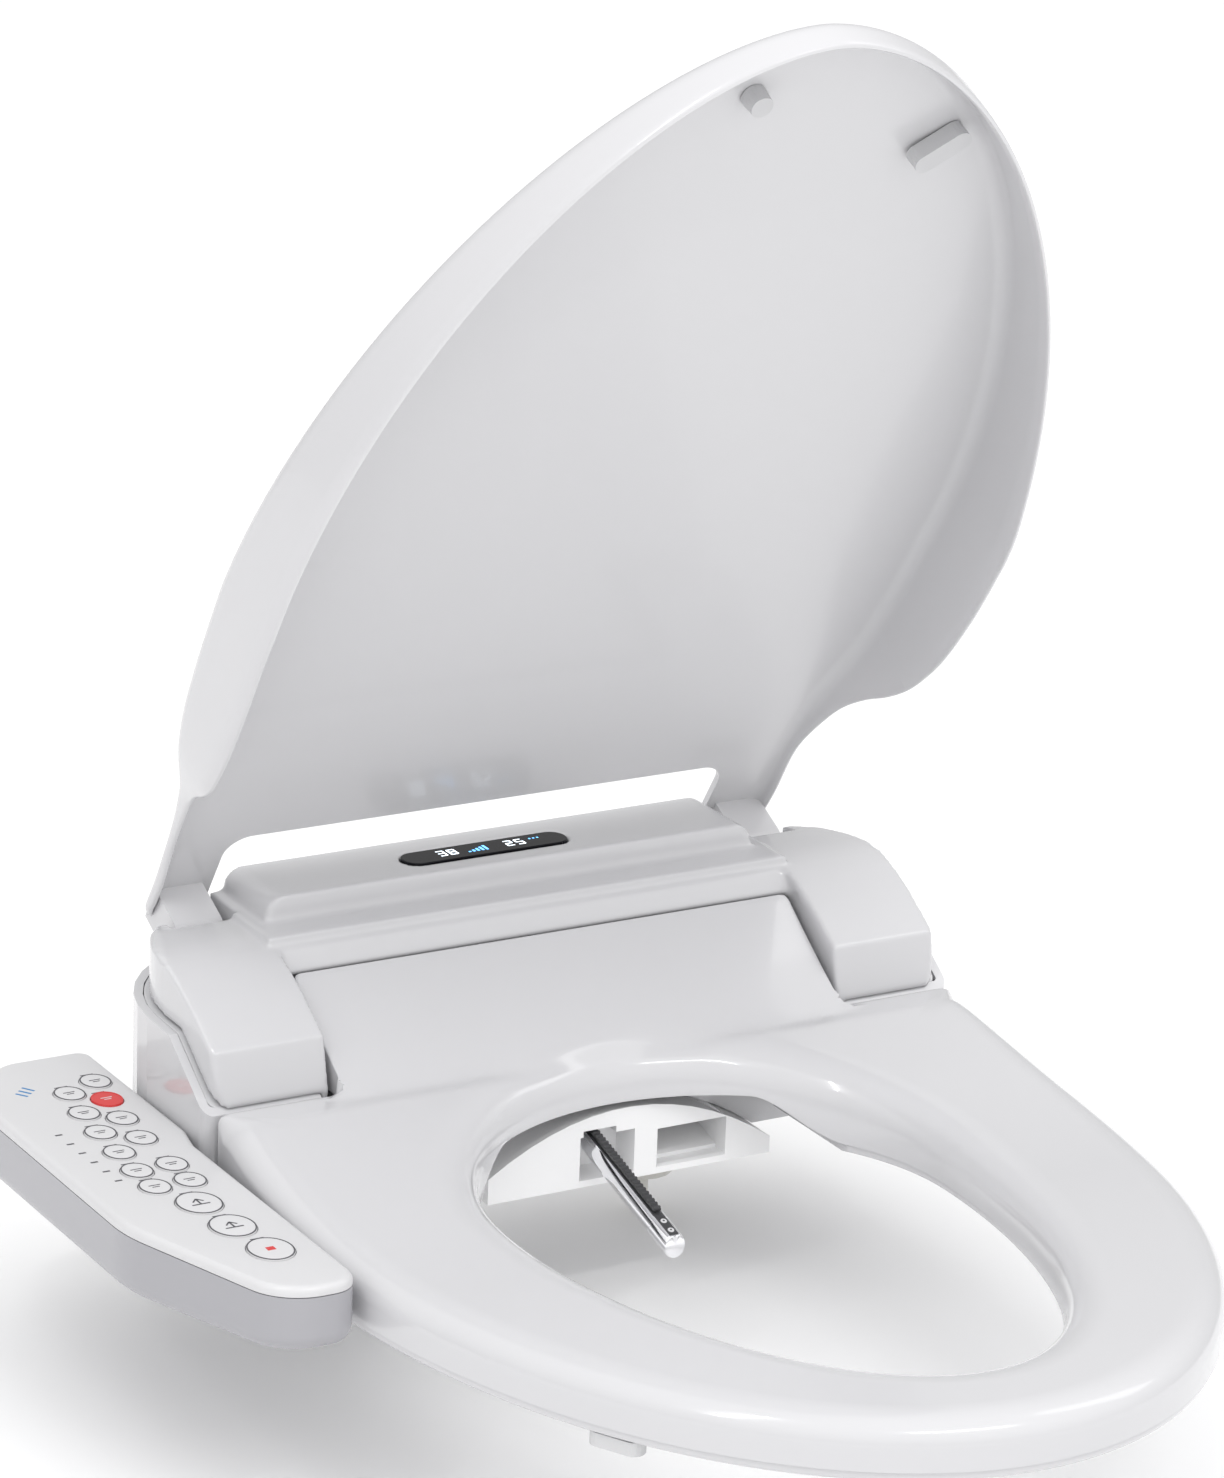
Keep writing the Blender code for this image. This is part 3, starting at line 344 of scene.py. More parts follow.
def rubber(name, colour):
    mat, shader = shader_of(name)
    tint(mat, shader, [c * 0.94 for c in colour], colour, 30.0)
    roughen(mat, shader, 0.55, 0.75, 60.0)
    grain(mat, shader, 1500.0, 0.15, 0.0001)
    return mat


def circuit_board():
    """Green solder mask with copper tracks and pads."""
    mat, shader = shader_of("circuit_board")
    nodes, links = mat.node_tree.nodes, mat.node_tree.links
    place = nodes.new("ShaderNodeTexCoord")
    tracks = nodes.new("ShaderNodeTexBrick")
    tracks.inputs["Scale"].default_value = 140.0
    tracks.inputs["Color1"].default_value = (0.02, 0.16, 0.06, 1.0)
    tracks.inputs["Color2"].default_value = (0.03, 0.21, 0.08, 1.0)
    tracks.inputs["Mortar"].default_value = (0.30, 0.24, 0.08, 1.0)
    links.new(place.outputs["Object"], tracks.inputs["Vector"])
    links.new(tracks.outputs["Color"], shader.inputs["Base Color"])
    roughen(mat, shader, 0.3, 0.5, 90.0)
    grain(mat, shader, 400.0, 0.1, 0.0001)
    return mat


def glowing(name, colour, strength):
    mat, shader = shader_of(name)
    tint(mat, shader, [c * 0.9 for c in colour], colour, 300.0)
    roughen(mat, shader, 0.3, 0.4, 200.0)
    shader.inputs["Emission Color"].default_value = (*colour, 1.0)
    shader.inputs["Emission Strength"].default_value = strength
    return mat


def lid_plastic():
    """Glossy white, with painted light: faces turned like the large face inside the lid get a lighter base
    colour.
    """
    mat = moulded_plastic("lid_white", LID_SKIRT_WHITE, 0.26, coat=0.3)
    nodes, links = mat.node_tree.nodes, mat.node_tree.links
    shader = nodes["Principled BSDF"]
    place = nodes.new("ShaderNodeTexCoord")
    # Painted light: a mask of the faces turned like the inside face, which get the lighter inside colour.
    painted_light_mask = nodes.new("ShaderNodeVectorMath")
    painted_light_mask.operation = "DOT_PRODUCT"
    painted_light_mask.inputs[1].default_value = (0.0, -math.sin(LID_OPENING), -math.cos(LID_OPENING))
    links.new(place.outputs["Normal"], painted_light_mask.inputs[0])
    share = nodes.new("ShaderNodeMapRange")
    share.inputs["From Min"].default_value = 0.6
    share.inputs["From Max"].default_value = 0.97
    links.new(painted_light_mask.outputs["Value"], share.inputs["Value"])
    mix = nodes.new("ShaderNodeMix")
    mix.data_type = "RGBA"
    links.new(share.outputs["Result"], mix.inputs["Factor"])
    outside = shader.inputs["Base Color"].links[0].from_socket
    links.new(outside, mix.inputs["A"])
    mix.inputs["B"].default_value = (*LID_INSIDE_PAINTED_LIGHT, 1.0)
    links.new(mix.outputs["Result"], shader.inputs["Base Color"])
    return mat


def make_materials():
    lens, shader = shader_of("display_lens")
    tint(lens, shader, (0.004, 0.004, 0.006), (0.009, 0.009, 0.012), 12.0)
    roughen(lens, shader, 0.04, 0.08, 30.0)
    grain(lens, shader, 500.0, 0.01, 0.00005)
    shader.inputs["Specular IOR Level"].default_value = 0.15
    return {
        "gloss_white": moulded_plastic("gloss_white", GLOSS_WHITE, 0.17, coat=0.6),
        "lid_white": lid_plastic(),
        "panel_white": moulded_plastic("panel_white", (0.62, 0.618, 0.628), 0.30, coat=0.15),
        # painted light: a lighter copy of the housing's white for the nozzle guide
        "guide_painted_light": moulded_plastic("guide_painted_light", GUIDE_PAINTED_LIGHT, 0.35),
        # painted shade: a darker copy of the housing's white for the panel case
        "case_painted_shade": moulded_plastic("case_painted_shade", CASE_PAINTED_SHADE, 0.26, coat=0.3),
        "key_white": moulded_plastic("key_white", (0.635, 0.633, 0.643), 0.35),
        "key_red": moulded_plastic("key_red", (0.62, 0.035, 0.035), 0.32, drift=0.006),
        "ink": moulded_plastic("ink", (0.07, 0.07, 0.08), 0.45, drift=0.01),
        "blue_ink": moulded_plastic("blue_ink", (0.03, 0.20, 0.45), 0.45, drift=0.01),
        "dark_plastic": moulded_plastic("dark_plastic", (0.04, 0.04, 0.043), 0.40, drift=0.006, grit=0.12),
        "nylon": moulded_plastic("nylon", (0.70, 0.69, 0.65), 0.45, drift=0.015, grit=0.1),
        "tank_plastic": moulded_plastic("tank_plastic", (0.62, 0.64, 0.66), 0.4, drift=0.015),
        "chrome": metal("chrome", (0.86, 0.86, 0.88), 0.07),
        "steel": metal("steel", (0.60, 0.60, 0.62), 0.32),
        "brass": metal("brass", (0.72, 0.55, 0.28), 0.28),
        "grey_rubber": rubber("grey_rubber", (0.60, 0.60, 0.61)),
        "circuit_board": circuit_board(),
        "display_black": lens,
        "glow_white": glowing("glow_white", (0.85, 0.93, 1.0), 1.6),
        "glow_blue": glowing("glow_blue", (0.15, 0.50, 1.0), 2.0),
    }


# ---------- lid ----------

def lid_plan():
    """The shut lid's outline, counter-clockwise from the left side round the front."""
    steps = 110
    front = []
    for i in range(steps + 1):
        angle = math.pi * i / steps
        x = abs(math.cos(angle)) ** (2 / LID_POWER) * math.copysign(1, -math.cos(angle))
        y = math.sin(angle) ** (2 / LID_POWER)
        front.append((x * LID_HALF, LID_WIDEST_Y - y * (LID_WIDEST_Y - LID_TIP_Y)))
    side = spline(LID_SIDE, 8)
    corner = [(156.5 - 12 * (1 - math.cos(a)), 18.0 + 12 * math.sin(a)) for a in
              (math.pi / 2 * i / 8 for i in range(1, 9))]
    right = side + corner
    return front + right + [(-x, y) for x, y in reversed(right)]


def lid_height(y):
    return 121.0 - 0.108 * (LID_REAR_Y - y)


LID_EDGE_CURVE = spline(LID_EDGE, 8)


def smooth_step(value, low, high):
    t = max(0.0, min(1.0, (value - low) / (high - low)))
    return t * t * (3 - 2 * t)


def lid_edge(y):
    for (near_y, near_z), (far_y, far_z) in zip(LID_EDGE_CURVE, LID_EDGE_CURVE[1:]):
        if near_y < y <= far_y:
            return near_z + (far_z - near_z) * (y - near_y) / (far_y - near_y)
    return LID_EDGE_Z


def lid_corner(y, radius, wall):
    """How deep the rounding between plate and skirt may go, in a skirt that is shallow along the arms."""
    return min(radius, 0.6 * (lid_height(y) - wall - lid_edge(y)))


def lid_ring(plan, reach, level):
    """One ring of the shell; level gives the height at y."""
    return [(x, y, level(y)) for x, y in inset(plan, reach)]


def lid_rings():
    """The shell from the inside's middle out over the free edge and back in to the outside's middle."""
    plan, thick = lid_plan(), LID_WALL
    middle = (LID_TIP_Y + LID_REAR_Y) / 2
    inner_radius, outer_radius = 7.0, 10.0
    rings = []

    def plate_ring(outline, share, drop):
        rings.append([(x * share, middle + (y - middle) * share,
                       lid_height(middle + (y - middle) * share) - drop) for x, y in outline])

    def inner_top(y, turn):
        return lid_height(y) - thick - lid_corner(y, inner_radius, thick) * (1 - math.cos(turn))

    def outer_top(y, turn):
        return lid_height(y) - lid_corner(y, outer_radius, 0.0) * (1 - math.sin(turn))

    shares = (0.02, 0.2, 0.4, 0.6, 0.75, 0.88, 0.96)
    for share in shares:
        plate_ring(inset(plan, thick + inner_radius), share, thick)
    for turn in (math.pi / 2 * step / 8 for step in range(9)):
        rings.append(lid_ring(plan, thick + inner_radius * (1 - math.sin(turn)),
                              lambda y, turn=turn: inner_top(y, turn)))
    for share in (0.25, 0.5, 0.75):
        rings.append(lid_ring(plan, thick - share * 0.6, lambda y, share=share:
                              inner_top(y, math.pi / 2) * (1 - share) + (lid_edge(y) + 0.9) * share))
    for lift, reach in ((0.9, thick - 0.8), (0.25, thick - 1.3), (0.0, 1.6), (0.25, 0.75), (1.0, 0.2)):
        rings.append(lid_ring(plan, reach, lambda y, lift=lift: lid_edge(y) + lift))
    for share in (0.25, 0.5, 0.75):
        rings.append(lid_ring(plan, 0.0, lambda y, share=share:
                              (lid_edge(y) + 1.2) * (1 - share) + outer_top(y, 0.0) * share))
    for turn in (math.pi / 2 * step / 9 for step in range(10)):
        rings.append(lid_ring(plan, outer_radius * (1 - math.cos(turn)),
                              lambda y, turn=turn: outer_top(y, turn)))
    for share in reversed(shares):
        plate_ring(inset(plan, outer_radius), share, 0.0)
    return rings


def make_lid_shell(mats):
    lid = loft("lid", lid_rings(), closed=False)
    slot = prism("slot", fillet([(-SLOT_HALF, SLOT_FRONT_Y, 12), (SLOT_HALF, SLOT_FRONT_Y, 12),
                                 (SLOT_HALF, 60, 5), (-SLOT_HALF, 60, 5)]), 60, 150)
    combine(lid, [slot])
    hinge_y, hinge_z = LID_HINGE
    for side in (-1, 1):
        radius = 9.5
        outline = [(hinge_y + radius * math.cos(a), hinge_z + radius * math.sin(a))
                   for a in (math.pi + math.pi * i / 24 for i in range(25))]
        outline += [(hinge_y + radius - 0.4, lid_height(hinge_y) - 2.0),
                    (hinge_y - radius, lid_height(hinge_y) - 2.2)]
        low, high = sorted((side * ARM_X[0], side * ARM_X[1]))
        combine(lid, [prism("knuckle", outline, low, high, across="x")], "UNION")
    lid.data.shade_smooth()
    lid.data.set_sharp_from_angle(angle=math.radians(40))
    turn_up(lid)
    rounded(lid, 0.8, segments=2, angle=45)
    return finish_piece(lid, mats["lid_white"], "lid", "lid_shell", slot="lid_white")


def turn_up(obj):
    """Turns a piece drawn on the shut lid to where the lid rests."""
    y, z = LID_HINGE
    pivot = Vector((0, y, z)) * MM
    obj.data.transform(Matrix.Translation(pivot) @ Matrix.Rotation(-LID_OPENING, 4, "X")
                       @ Matrix.Translation(-pivot))


# ---------- seat ----------

def opening_reach(angle):
    depth = OPENING_REAR if math.sin(angle) > 0 else OPENING_FRONT
    return 1.0 / math.hypot(abs(math.cos(angle)) / OPENING_HALF, abs(math.sin(angle)) / depth)


def seat_plan(shrink=0.0, tongue=True):
    """The seat's outline, clockwise from the right side round the front."""
    steps = 96
    points = []
    for i in range(steps + 1):
        angle = math.pi * i / steps
        x = abs(math.cos(angle)) ** (2 / SEAT_POWER) * math.copysign(1, math.cos(angle))
        y = math.sin(angle) ** (2 / SEAT_POWER)
        points.append((x * (SEAT_HALF - shrink), SEAT_WIDEST_Y - y * (SEAT_WIDEST_Y - SEAT_TIP_Y - shrink)))
    left = []
    for i in range(1, 19):
        share = i / 18
        x = SEAT_HALF - (SEAT_HALF - SEAT_REAR_HALF) * share ** 2.6 - shrink
        left.append((-x, SEAT_WIDEST_Y + (SEAT_REAR_Y - 3.0 - shrink - SEAT_WIDEST_Y) * share))
    rear = SEAT_REAR_Y - shrink
    left += [(-SEAT_REAR_HALF + shrink + 3.0 * (1 - math.cos(a)), rear - 3.0 + 3.0 * math.sin(a))
             for a in (math.pi / 2 * i / 4 for i in range(1, 5))]
    if tongue:
        half = TONGUE_HALF - shrink
        left += [(-x, rear) for x in (172.0, 164.0, 154.0, 144.0, 136.0, 130.0)]
        left += [(-half - 3.0 + 3.0 * math.sin(a), rear + 3.0 * (1 - math.cos(a)))
                 for a in (math.pi / 2 * i / 4 for i in range(5))]
        left += [(-half, rear + 4.0 + (TONGUE_REAR_Y - SEAT_REAR_Y - 8.0) * i / 9) for i in range(1, 10)]
        left += [(-half + 4.0 * (1 - math.cos(a)), TONGUE_REAR_Y - shrink - 4.0 + 4.0 * math.sin(a))
                 for a in (math.pi / 2 * i / 4 for i in range(5))]
        left += [(-(half - 5.0) * (1 - i / 16), TONGUE_REAR_Y - shrink) for i in range(1, 16)]
    else:
        left += [(-170.0 + 10.0 * i, rear) for i in range(17)]
    right = [(-x, y) for x, y in reversed(left)]
    return points + left + [(0.0, left[-1][1])] + right


def seat_height(x, y):
    """Height of the seat's upper face: flat in front, a ramp towards the back and the tongue behind it."""
    ramp = max(0.0, min(1.0, (y - RAMP_START_Y) / RAMP_LENGTH))
    tongue = max(0.0, min(1.0, (y - TONGUE_START_Y) / TONGUE_LENGTH))
    if abs(x) > TONGUE_HALF + 1:
        tongue = 0.0
    return SEAT_TOP + RAMP_RISE * ramp ** 2 + TONGUE_RISE * tongue ** TONGUE_POWER


def seat_ray(point):
    centre = Vector((0.0, OPENING_Y))
    outer = Vector(point)
    ray = (outer - centre).normalized()
    inner = centre + ray * opening_reach(math.atan2(ray.y, ray.x))
    return outer, inner, -ray


def edge_drop(distance, radius, depth):
    """How far a rounded edge lies below the surface at that distance in from it."""
    share = max(0.0, 1.0 - distance / radius)
    return depth * (1.0 - math.sqrt(max(0.0, 1.0 - share ** 2.3)))


def make_seat_shell(mats):
    sections = []
    for point in seat_plan():
        outer, inner, inwards = seat_ray(point)
        width = (outer - inner).length
        in_tongue = abs(outer.x) < TONGUE_HALF + 4 and outer.y > SEAT_REAR_Y - 1
        low = TONGUE_LOW if in_tongue else SEAT_SEAM
        inner_low = SEAT_SEAM
        if inner.y > OPENING_Y:
            side = smooth_step(abs(inner.x), BRIDGE_FLAT_HALF, BRIDGE_HALF)
            inner_low = BRIDGE_LOW - (BRIDGE_LOW - SEAT_SEAM) * side
        outer_radius, outer_depth = SEAT_EDGE
        if in_tongue:
            outer_radius, outer_depth = TONGUE_EDGE
        elif outer.y > SEAT_REAR_Y - 8.0:
            outer_radius, outer_depth = REAR_EDGE
        inner_radius, inner_depth = OPENING_EDGE
        reaches = [outer_radius * (1 - math.cos(math.pi / 2 * i / 9)) for i in range(10)]
        reaches += [outer_radius + (width - outer_radius - inner_radius) * i / 24 for i in range(1, 24)]
        reaches += [width - inner_radius * math.cos(math.pi / 2 * i / 12) for i in range(13)]
        section = [(outer.x, outer.y, low)]
        for reach in reaches:
            place = outer + inwards * reach
            drop = edge_drop(reach, outer_radius, outer_depth)
            drop += edge_drop(width - reach, inner_radius, inner_depth)
            floor = (low if reach < width / 2 else inner_low) + 0.8
            section.append((place.x, place.y, max(seat_height(place.x, place.y) - drop, floor)))
        section.append((inner.x, inner.y, inner_low))
        under = outer + inwards * (width - 3.0)
        section.append((under.x, under.y, inner_low))
        section.append((under.x, under.y, max(seat_height(under.x, under.y) - 17.0, inner_low + 0.5)))
        half = outer + inwards * (width * 0.5)
        section.append((half.x, half.y, seat_height(half.x, half.y) - 5.0))
        wall = outer + inwards * 4.0
        section.append((wall.x, wall.y, max(seat_height(wall.x, wall.y) - 12.0, low + 0.5)))
        section.append((wall.x, wall.y, low))
        sections.append(section)
    rings = [list(ring) for ring in zip(*sections)]
    seat = loft("seat", rings)
    seat.data.set_sharp_from_angle(angle=math.radians(50))
    return finish_piece(seat, mats["gloss_white"], "seat", "seat_shell", slot="gloss_white")


def make_seat_base(mats):
    """The seat's lower plate, set in a little under the seam, with a rounded lower edge."""
    sections = []
    for point in seat_plan(1.0, tongue=False):
        outer, inner, inwards = seat_ray(point)
        high, low = SEAT_SEAM - 0.5, SEAT_BOTTOM
        section = []
        for start, sign in ((outer, 1), (inner - inwards * 1.0, -1)):
            rim = [(start + inwards * sign * 2.5 * (1 - math.cos(a)), low + 2.5 * (1 - math.sin(a)))
                   for a in (math.pi / 2 * i / 5 for i in range(6))]
            corner = [(start, high), *rim]
            section += corner if sign == 1 else list(reversed(corner))
        sections.append([(place.x, place.y, height) for place, height in section])
    base = loft("seat_underside", [list(ring) for ring in zip(*sections)])
    combine(base, [block("bridge_gap", (-BRIDGE_HALF, -155, 0), (BRIDGE_HALF, -60, 40))])
    base.data.set_sharp_from_angle(angle=math.radians(45))
    return finish_piece(base, mats["gloss_white"], "seat", "seat_base", slot="gloss_white")


# ---------- housing ----------

def make_cover(mats):
    """The outer form as one solid, cut for the seat's bay, the lid's arms and the lens, then rounded."""
    profile = [(SHOULDER[0][0], SHOULDER[0][1]), *spline(SHOULDER[1:], 8), (40.0, 84.4), (-48.0, 80.0)]
    cover = prism("cover", profile, -200, 200, across="x")
    plan = fillet([(-COVER_HALF, COVER_FRONT_Y, 8.0), (COVER_HALF, COVER_FRONT_Y, 8.0),
                   (COVER_HALF, COVER_REAR_Y, CORNER_RADIUS), (-COVER_HALF, COVER_REAR_Y, CORNER_RADIUS)], 20)
    combine(cover, [prism("plan", plan, 20, ABOVE)], "INTERSECT")
    middle = [(-82.5, 43.0), (-82.5, 54.5), (-76.5, 79.0), (-51.0, 94.5), (-30.0, 102.0), (-30.0, 108.0),
              (COVER_REAR_Y, 108.0), (COVER_REAR_Y, 43.0)]
    hump = fillet([(-HUMP_HALF, HUMP_LOW, 2), (HUMP_HALF, HUMP_LOW, 2), (HUMP_HALF, HUMP_TOP, 9),
                   (-HUMP_HALF, HUMP_TOP, 9)])
    combine(cover, [prism("middle", middle, -130, 130, across="x"),
                    prism("hump", hump, HUMP_FRONT_Y, COVER_REAR_Y - 2, across="y")], "UNION")
    bay = [(-95, BAY_FLOOR), (BAY_REAR_Y, BAY_FLOOR), (BAY_REAR_Y, 89.0), WALL_FOOT, WALL_TOP,
           (WALL_TOP[0], ABOVE), (-95, ABOVE)]
    cuts = [prism("bay", bay, -BAY_HALF, BAY_HALF, across="x"),
            prism("lens_hole", lens_plan(0.5), 114.4, ABOVE),
            block("nozzle_tunnel", (-14, -24, 38), (8, 27, 66))]
    for side in (-1, 1):
        low, high = sorted((side * (ARM_X[0] - 3.5), side * (ARM_X[1] + 3.5)))
        cuts.append(block("arm_recess", (low, 6.5, 78), (high, 50, ABOVE)))
    combine(cover, cuts)
    moulded(cover, 1.25, 7)
    make_cover_skirt(mats)
    return finish_piece(cover, mats["gloss_white"], "housing", "top_cover", slot="gloss_white")


def make_cover_skirt(mats):
    """The cover's lower rim, which closes the joint between it and the tray's wall."""
    profile = [(-79.6, 48.0), (-79.6, 56.5), (-48.0, 79.2), (14.0, 82.2), (32.6, 80.6), (32.6, 74.0),
               (-48.0, 70.0)]
    skirt = prism("cover_skirt", profile, -190, 190, across="x")
    half, radius = 181.7, 60.0
    plan = fillet([(-half, -79.6, 4.0), (half, -79.6, 4.0), (half, 32.7, radius), (-half, 32.7, radius)], 20)
    combine(skirt, [prism("skirt_plan", plan, 20, ABOVE)], "INTERSECT")
    inner = fillet([(-half + 8, -100.0, 4.0), (half - 8, -100.0, 4.0), (half - 8, 26.0, radius - 8),
                    (-half + 8, 26.0, radius - 8)], 20)
    combine(skirt, [prism("skirt_hollow", inner, 20, ABOVE)])
    rounded(skirt, 0.5, 2)
    return finish_piece(skirt, mats["gloss_white"], "housing", slot="gloss_white")


def lens_plan(grow=0.0):
    half_length, half_depth = LENS_HALF[0] + grow, LENS_HALF[1] + grow
    middle_x, middle_y = LENS_MIDDLE
    left, right = middle_x - half_length, middle_x + half_length
    front, rear = middle_y - half_depth, middle_y + half_depth
    corners = [(left, front), (right, front), (right, rear), (left, rear)]
    return fillet([(x, y, half_depth - 0.6) for x, y in corners], 16)


SEGMENTS = {"a": ((0, 2), (1, 2)), "b": ((1, 2), (1, 1)), "c": ((1, 1), (1, 0)), "d": ((0, 0), (1, 0)),
            "e": ((0, 1), (0, 0)), "f": ((0, 2), (0, 1)), "g": ((0, 1), (1, 1))}
DIGITS = {"0": "abcdef", "1": "bc", "2": "abged", "3": "abgcd", "5": "afgcd", "8": "abcdefg"}


def strip(start, end, width, level):
    """A flat bar between two points of a horizontal face, as its four corners."""
    start, end = Vector(start), Vector(end)
    along = (end - start).normalized()
    aside = Vector((-along.y, along.x)) * width / 2
    return [(p.x, p.y, level) for p in (start - aside, end - aside, end + aside, start + aside)]


def flat_marks(name, quads, thickness=0.15):
    """Thin raised marks: each quad is a list of corners at one height."""
    verts, faces = [], []
    for quad in quads:
        base, count = len(verts), len(quad)
        verts += list(quad) + [(x, y, z + thickness) for x, y, z in quad]
        faces.append(tuple(base + i for i in reversed(range(count))))
        faces.append(tuple(base + count + i for i in range(count)))
        faces += [(base + i, base + (i + 1) % count, base + count + (i + 1) % count, base + count + i)
                  for i in range(count)]
    return make_object(name, verts, faces, smooth=False)


def make_display(mats):
    lens = prism("lens", lens_plan(), 114.6, HUMP_TOP + 0.4)
    rounded(lens, 0.5, 3)
    finish_piece(lens, mats["display_black"], "housing", "display_lens", slot="display_black")
    level = HUMP_TOP + 0.35
    quads = []
    for text, left in (("38", -28.0), ("25", 6.0)):
        for place, digit in enumerate(text):
            for segment in DIGITS[digit]:
                ends = [(left + place * 5.4 + a * 3.2, 5.0 + b * 2.9) for a, b in SEGMENTS[segment]]
                quads.append(strip(*ends, 0.7, level))
    finish_piece(flat_marks("display_digits", quads), mats["glow_white"], "housing")
    bars = [strip((-13.5 + 2.2 * i, 4.6), (-13.5 + 2.2 * i, 5.6 + 1.1 * i), 1.1, level) for i in range(5)]
    bars += [strip((18.5 + 2.0 * i, 9.6), (19.4 + 2.0 * i, 9.6), 0.9, level) for i in range(3)]
    finish_piece(flat_marks("display_bars", bars), mats["glow_blue"], "housing")


# ---------- control panel ----------

def panel_floor(y):
    share = max(0.0, (PANEL_RISE_Y - y) / (PANEL_RISE_Y - PANEL_FRONT_Y))
    return PANEL_BOTTOM + PANEL_RISE * share ** 2


def make_panel(mats):
    plan = fillet(PANEL_OUTLINE, 16)[::-1]
    rings = []
    for step in range(9):
        a = math.pi / 2 * step / 8
        rings.append([(x, y, panel_floor(y) + CASE_ROUND * (1 - math.cos(a)))
                      for x, y in inset(plan, CASE_ROUND * (1 - math.sin(a)))])
    rings.append([(x, y, PANEL_SPLIT - 0.35) for x, y in plan])
    rings.append([(x, y, PANEL_SPLIT - 0.3) for x, y in inset(plan, 1.2)])
    case = loft("control_case", rings, closed=False)
    case.data.set_sharp_from_angle(angle=math.radians(50))
    # The case takes the darker painted-shade colour, not the housing's white.
    finish_piece(case, mats["case_painted_shade"], "housing", "panel_case", slot="gloss_white")
    rings = [[(x, y, PANEL_SPLIT) for x, y in inset(plan, 1.2)], [(x, y, PANEL_SPLIT + 0.1) for x, y in plan]]
    for step in range(9):
        a = math.pi / 2 * step / 8
        rings.append([(x, y, PANEL_TOP - FACE_ROUND * (1 - math.sin(a)))
                      for x, y in inset(plan, FACE_ROUND * (1 - math.cos(a)))])
    top = loft("control_face", rings, closed=False)
    holes = []
    for node in KEY_NODES:
        x, y, half_x, half_y = key_place(node)
        holes.append(prism("hole", oval(x, y, half_x + 0.35, half_y + 0.35), 30, 60))
    combine(top, holes)
    top.data.shade_smooth()
    top.data.set_sharp_from_angle(angle=math.radians(40))
    finish_piece(top, mats["panel_white"], "housing", "panel_top", slot="gloss_white")
    level = PANEL_TOP - 0.05
    marks = []
    for i in range(6):
        x, y = -238.5 + 0.4 * i, -52.0 - 11.0 * i
        marks.append(strip((x - 1.6, y), (x + 1.6, y), 1.1, level))
    for node in KEY_NODES:
        x, y, half_x, half_y = key_place(node)
        marks.append(strip((x - 3.0, y + half_y + 1.05), (x + 3.0, y + half_y + 1.05), 0.6, level))
    finish_piece(flat_marks("panel_marks", marks), mats["ink"], "housing")
    waves = [strip((-236.0 + 2.6 * i, -2.0 + 2.6 * i), (-232.5 + 2.6 * i, -7.0 + 2.4 * i), 1.0, level)
             for i in range(3)]
    finish_piece(flat_marks("panel_waves", waves), mats["blue_ink"], "housing")


def oval(x, y, half_x, half_y, sides=48):
    return [(x + half_x * math.cos(2 * math.pi * i / sides), y + half_y * math.sin(2 * math.pi * i / sides))
            for i in range(sides)]


KEY_NODES = [node for node in frame["nodes"] if node.startswith("key_")]


def key_place(node):
    """Centre and half sizes of a key, from its CAD box."""
    (x0, y0, _), (x1, y1, _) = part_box(node)
    return (x0 + x1) / 2 / MM, (y0 + y1) / 2 / MM, (x1 - x0) / 2 / MM, (y1 - y0) / 2 / MM


def make_keys(mats):
    """Domed oval keys, each with a thin printed ring."""
    for node in KEY_NODES:
        x, y, half_x, half_y = key_place(node)
        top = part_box(node)[1][2] / MM
        rings = [[(px, py, z) for px, py in oval(x, y, half_x - edge, half_y - edge)]
                 for edge, z in ((0.0, 38.0), (0.0, top - 0.5), (0.12, top - 0.22), (0.45, top - 0.06),
                                 (1.2, top), (half_x - 0.8, top + 0.02))]
        key = loft(node.replace("key_", "cap_"), rings, closed=False)
        body = "button_" + node[4:]
        red = node == "key_power"
        look = "key_red" if red else "key_white"
        finish_piece(key, mats[look], body, node, slot=look)
        outer, inner = oval(x, y, half_x - 0.15, half_y - 0.15), oval(x, y, half_x - 0.75, half_y - 0.75)
        ring = loft("ring_" + node[4:], [[(px, py, top - 0.12) for px, py in outer],
                                         [(px, py, top + 0.05) for px, py in outer],
                                         [(px, py, top + 0.08) for px, py in inner],
                                         [(px, py, top - 0.12) for px, py in inner]], smooth=False)
        finish_piece(ring, mats["key_red" if red else "ink"], body)
        make_key_symbol(node, x, y, top, body, mats)


def make_key_symbol(node, x, y, level, body, mats):
    """A generic symbol on the key: bars, an upright figure of strips or a stop square."""
    if node == "key_stop":
        quads = [strip((x - 1.8, y), (x + 1.8, y), 3.2, level)]
        mat = mats["key_red"]
    elif node in ("key_wash", "key_bidet"):
        quads = [strip((x - 4.0, y - 2.0), (x + 4.0, y - 2.0), 0.8, level),
                 strip((x, y - 2.0), (x, y + 3.4), 0.8, level),
                 strip((x - 2.4, y + 0.8), (x, y + 3.6), 0.7, level),
                 strip((x + 2.4, y + 0.8), (x, y + 3.6), 0.7, level)]
        mat = mats["ink"]
    else:
        quads = [strip((x - 2.6, y + 0.9), (x + 2.6, y + 0.9), 0.55, level),
                 strip((x - 1.6, y - 0.9), (x + 1.6, y - 0.9), 0.55, level)]
        mat = mats["key_white"] if node == "key_power" else mats["ink"]
    finish_piece(flat_marks("symbol_" + node[4:], quads, 0.12), mat, body)


# ---------- nozzle ----------

def along_nozzle(back, lift=0.0, sideways=0.0):
    along = Vector((0, -math.cos(NOZZLE_SLOPE), -math.sin(NOZZLE_SLOPE)))
    above = Vector((0, along.z, -along.y))
    return Vector(NOZZLE_TIP) - along * back + above * lift + Vector((sideways, 0, 0))


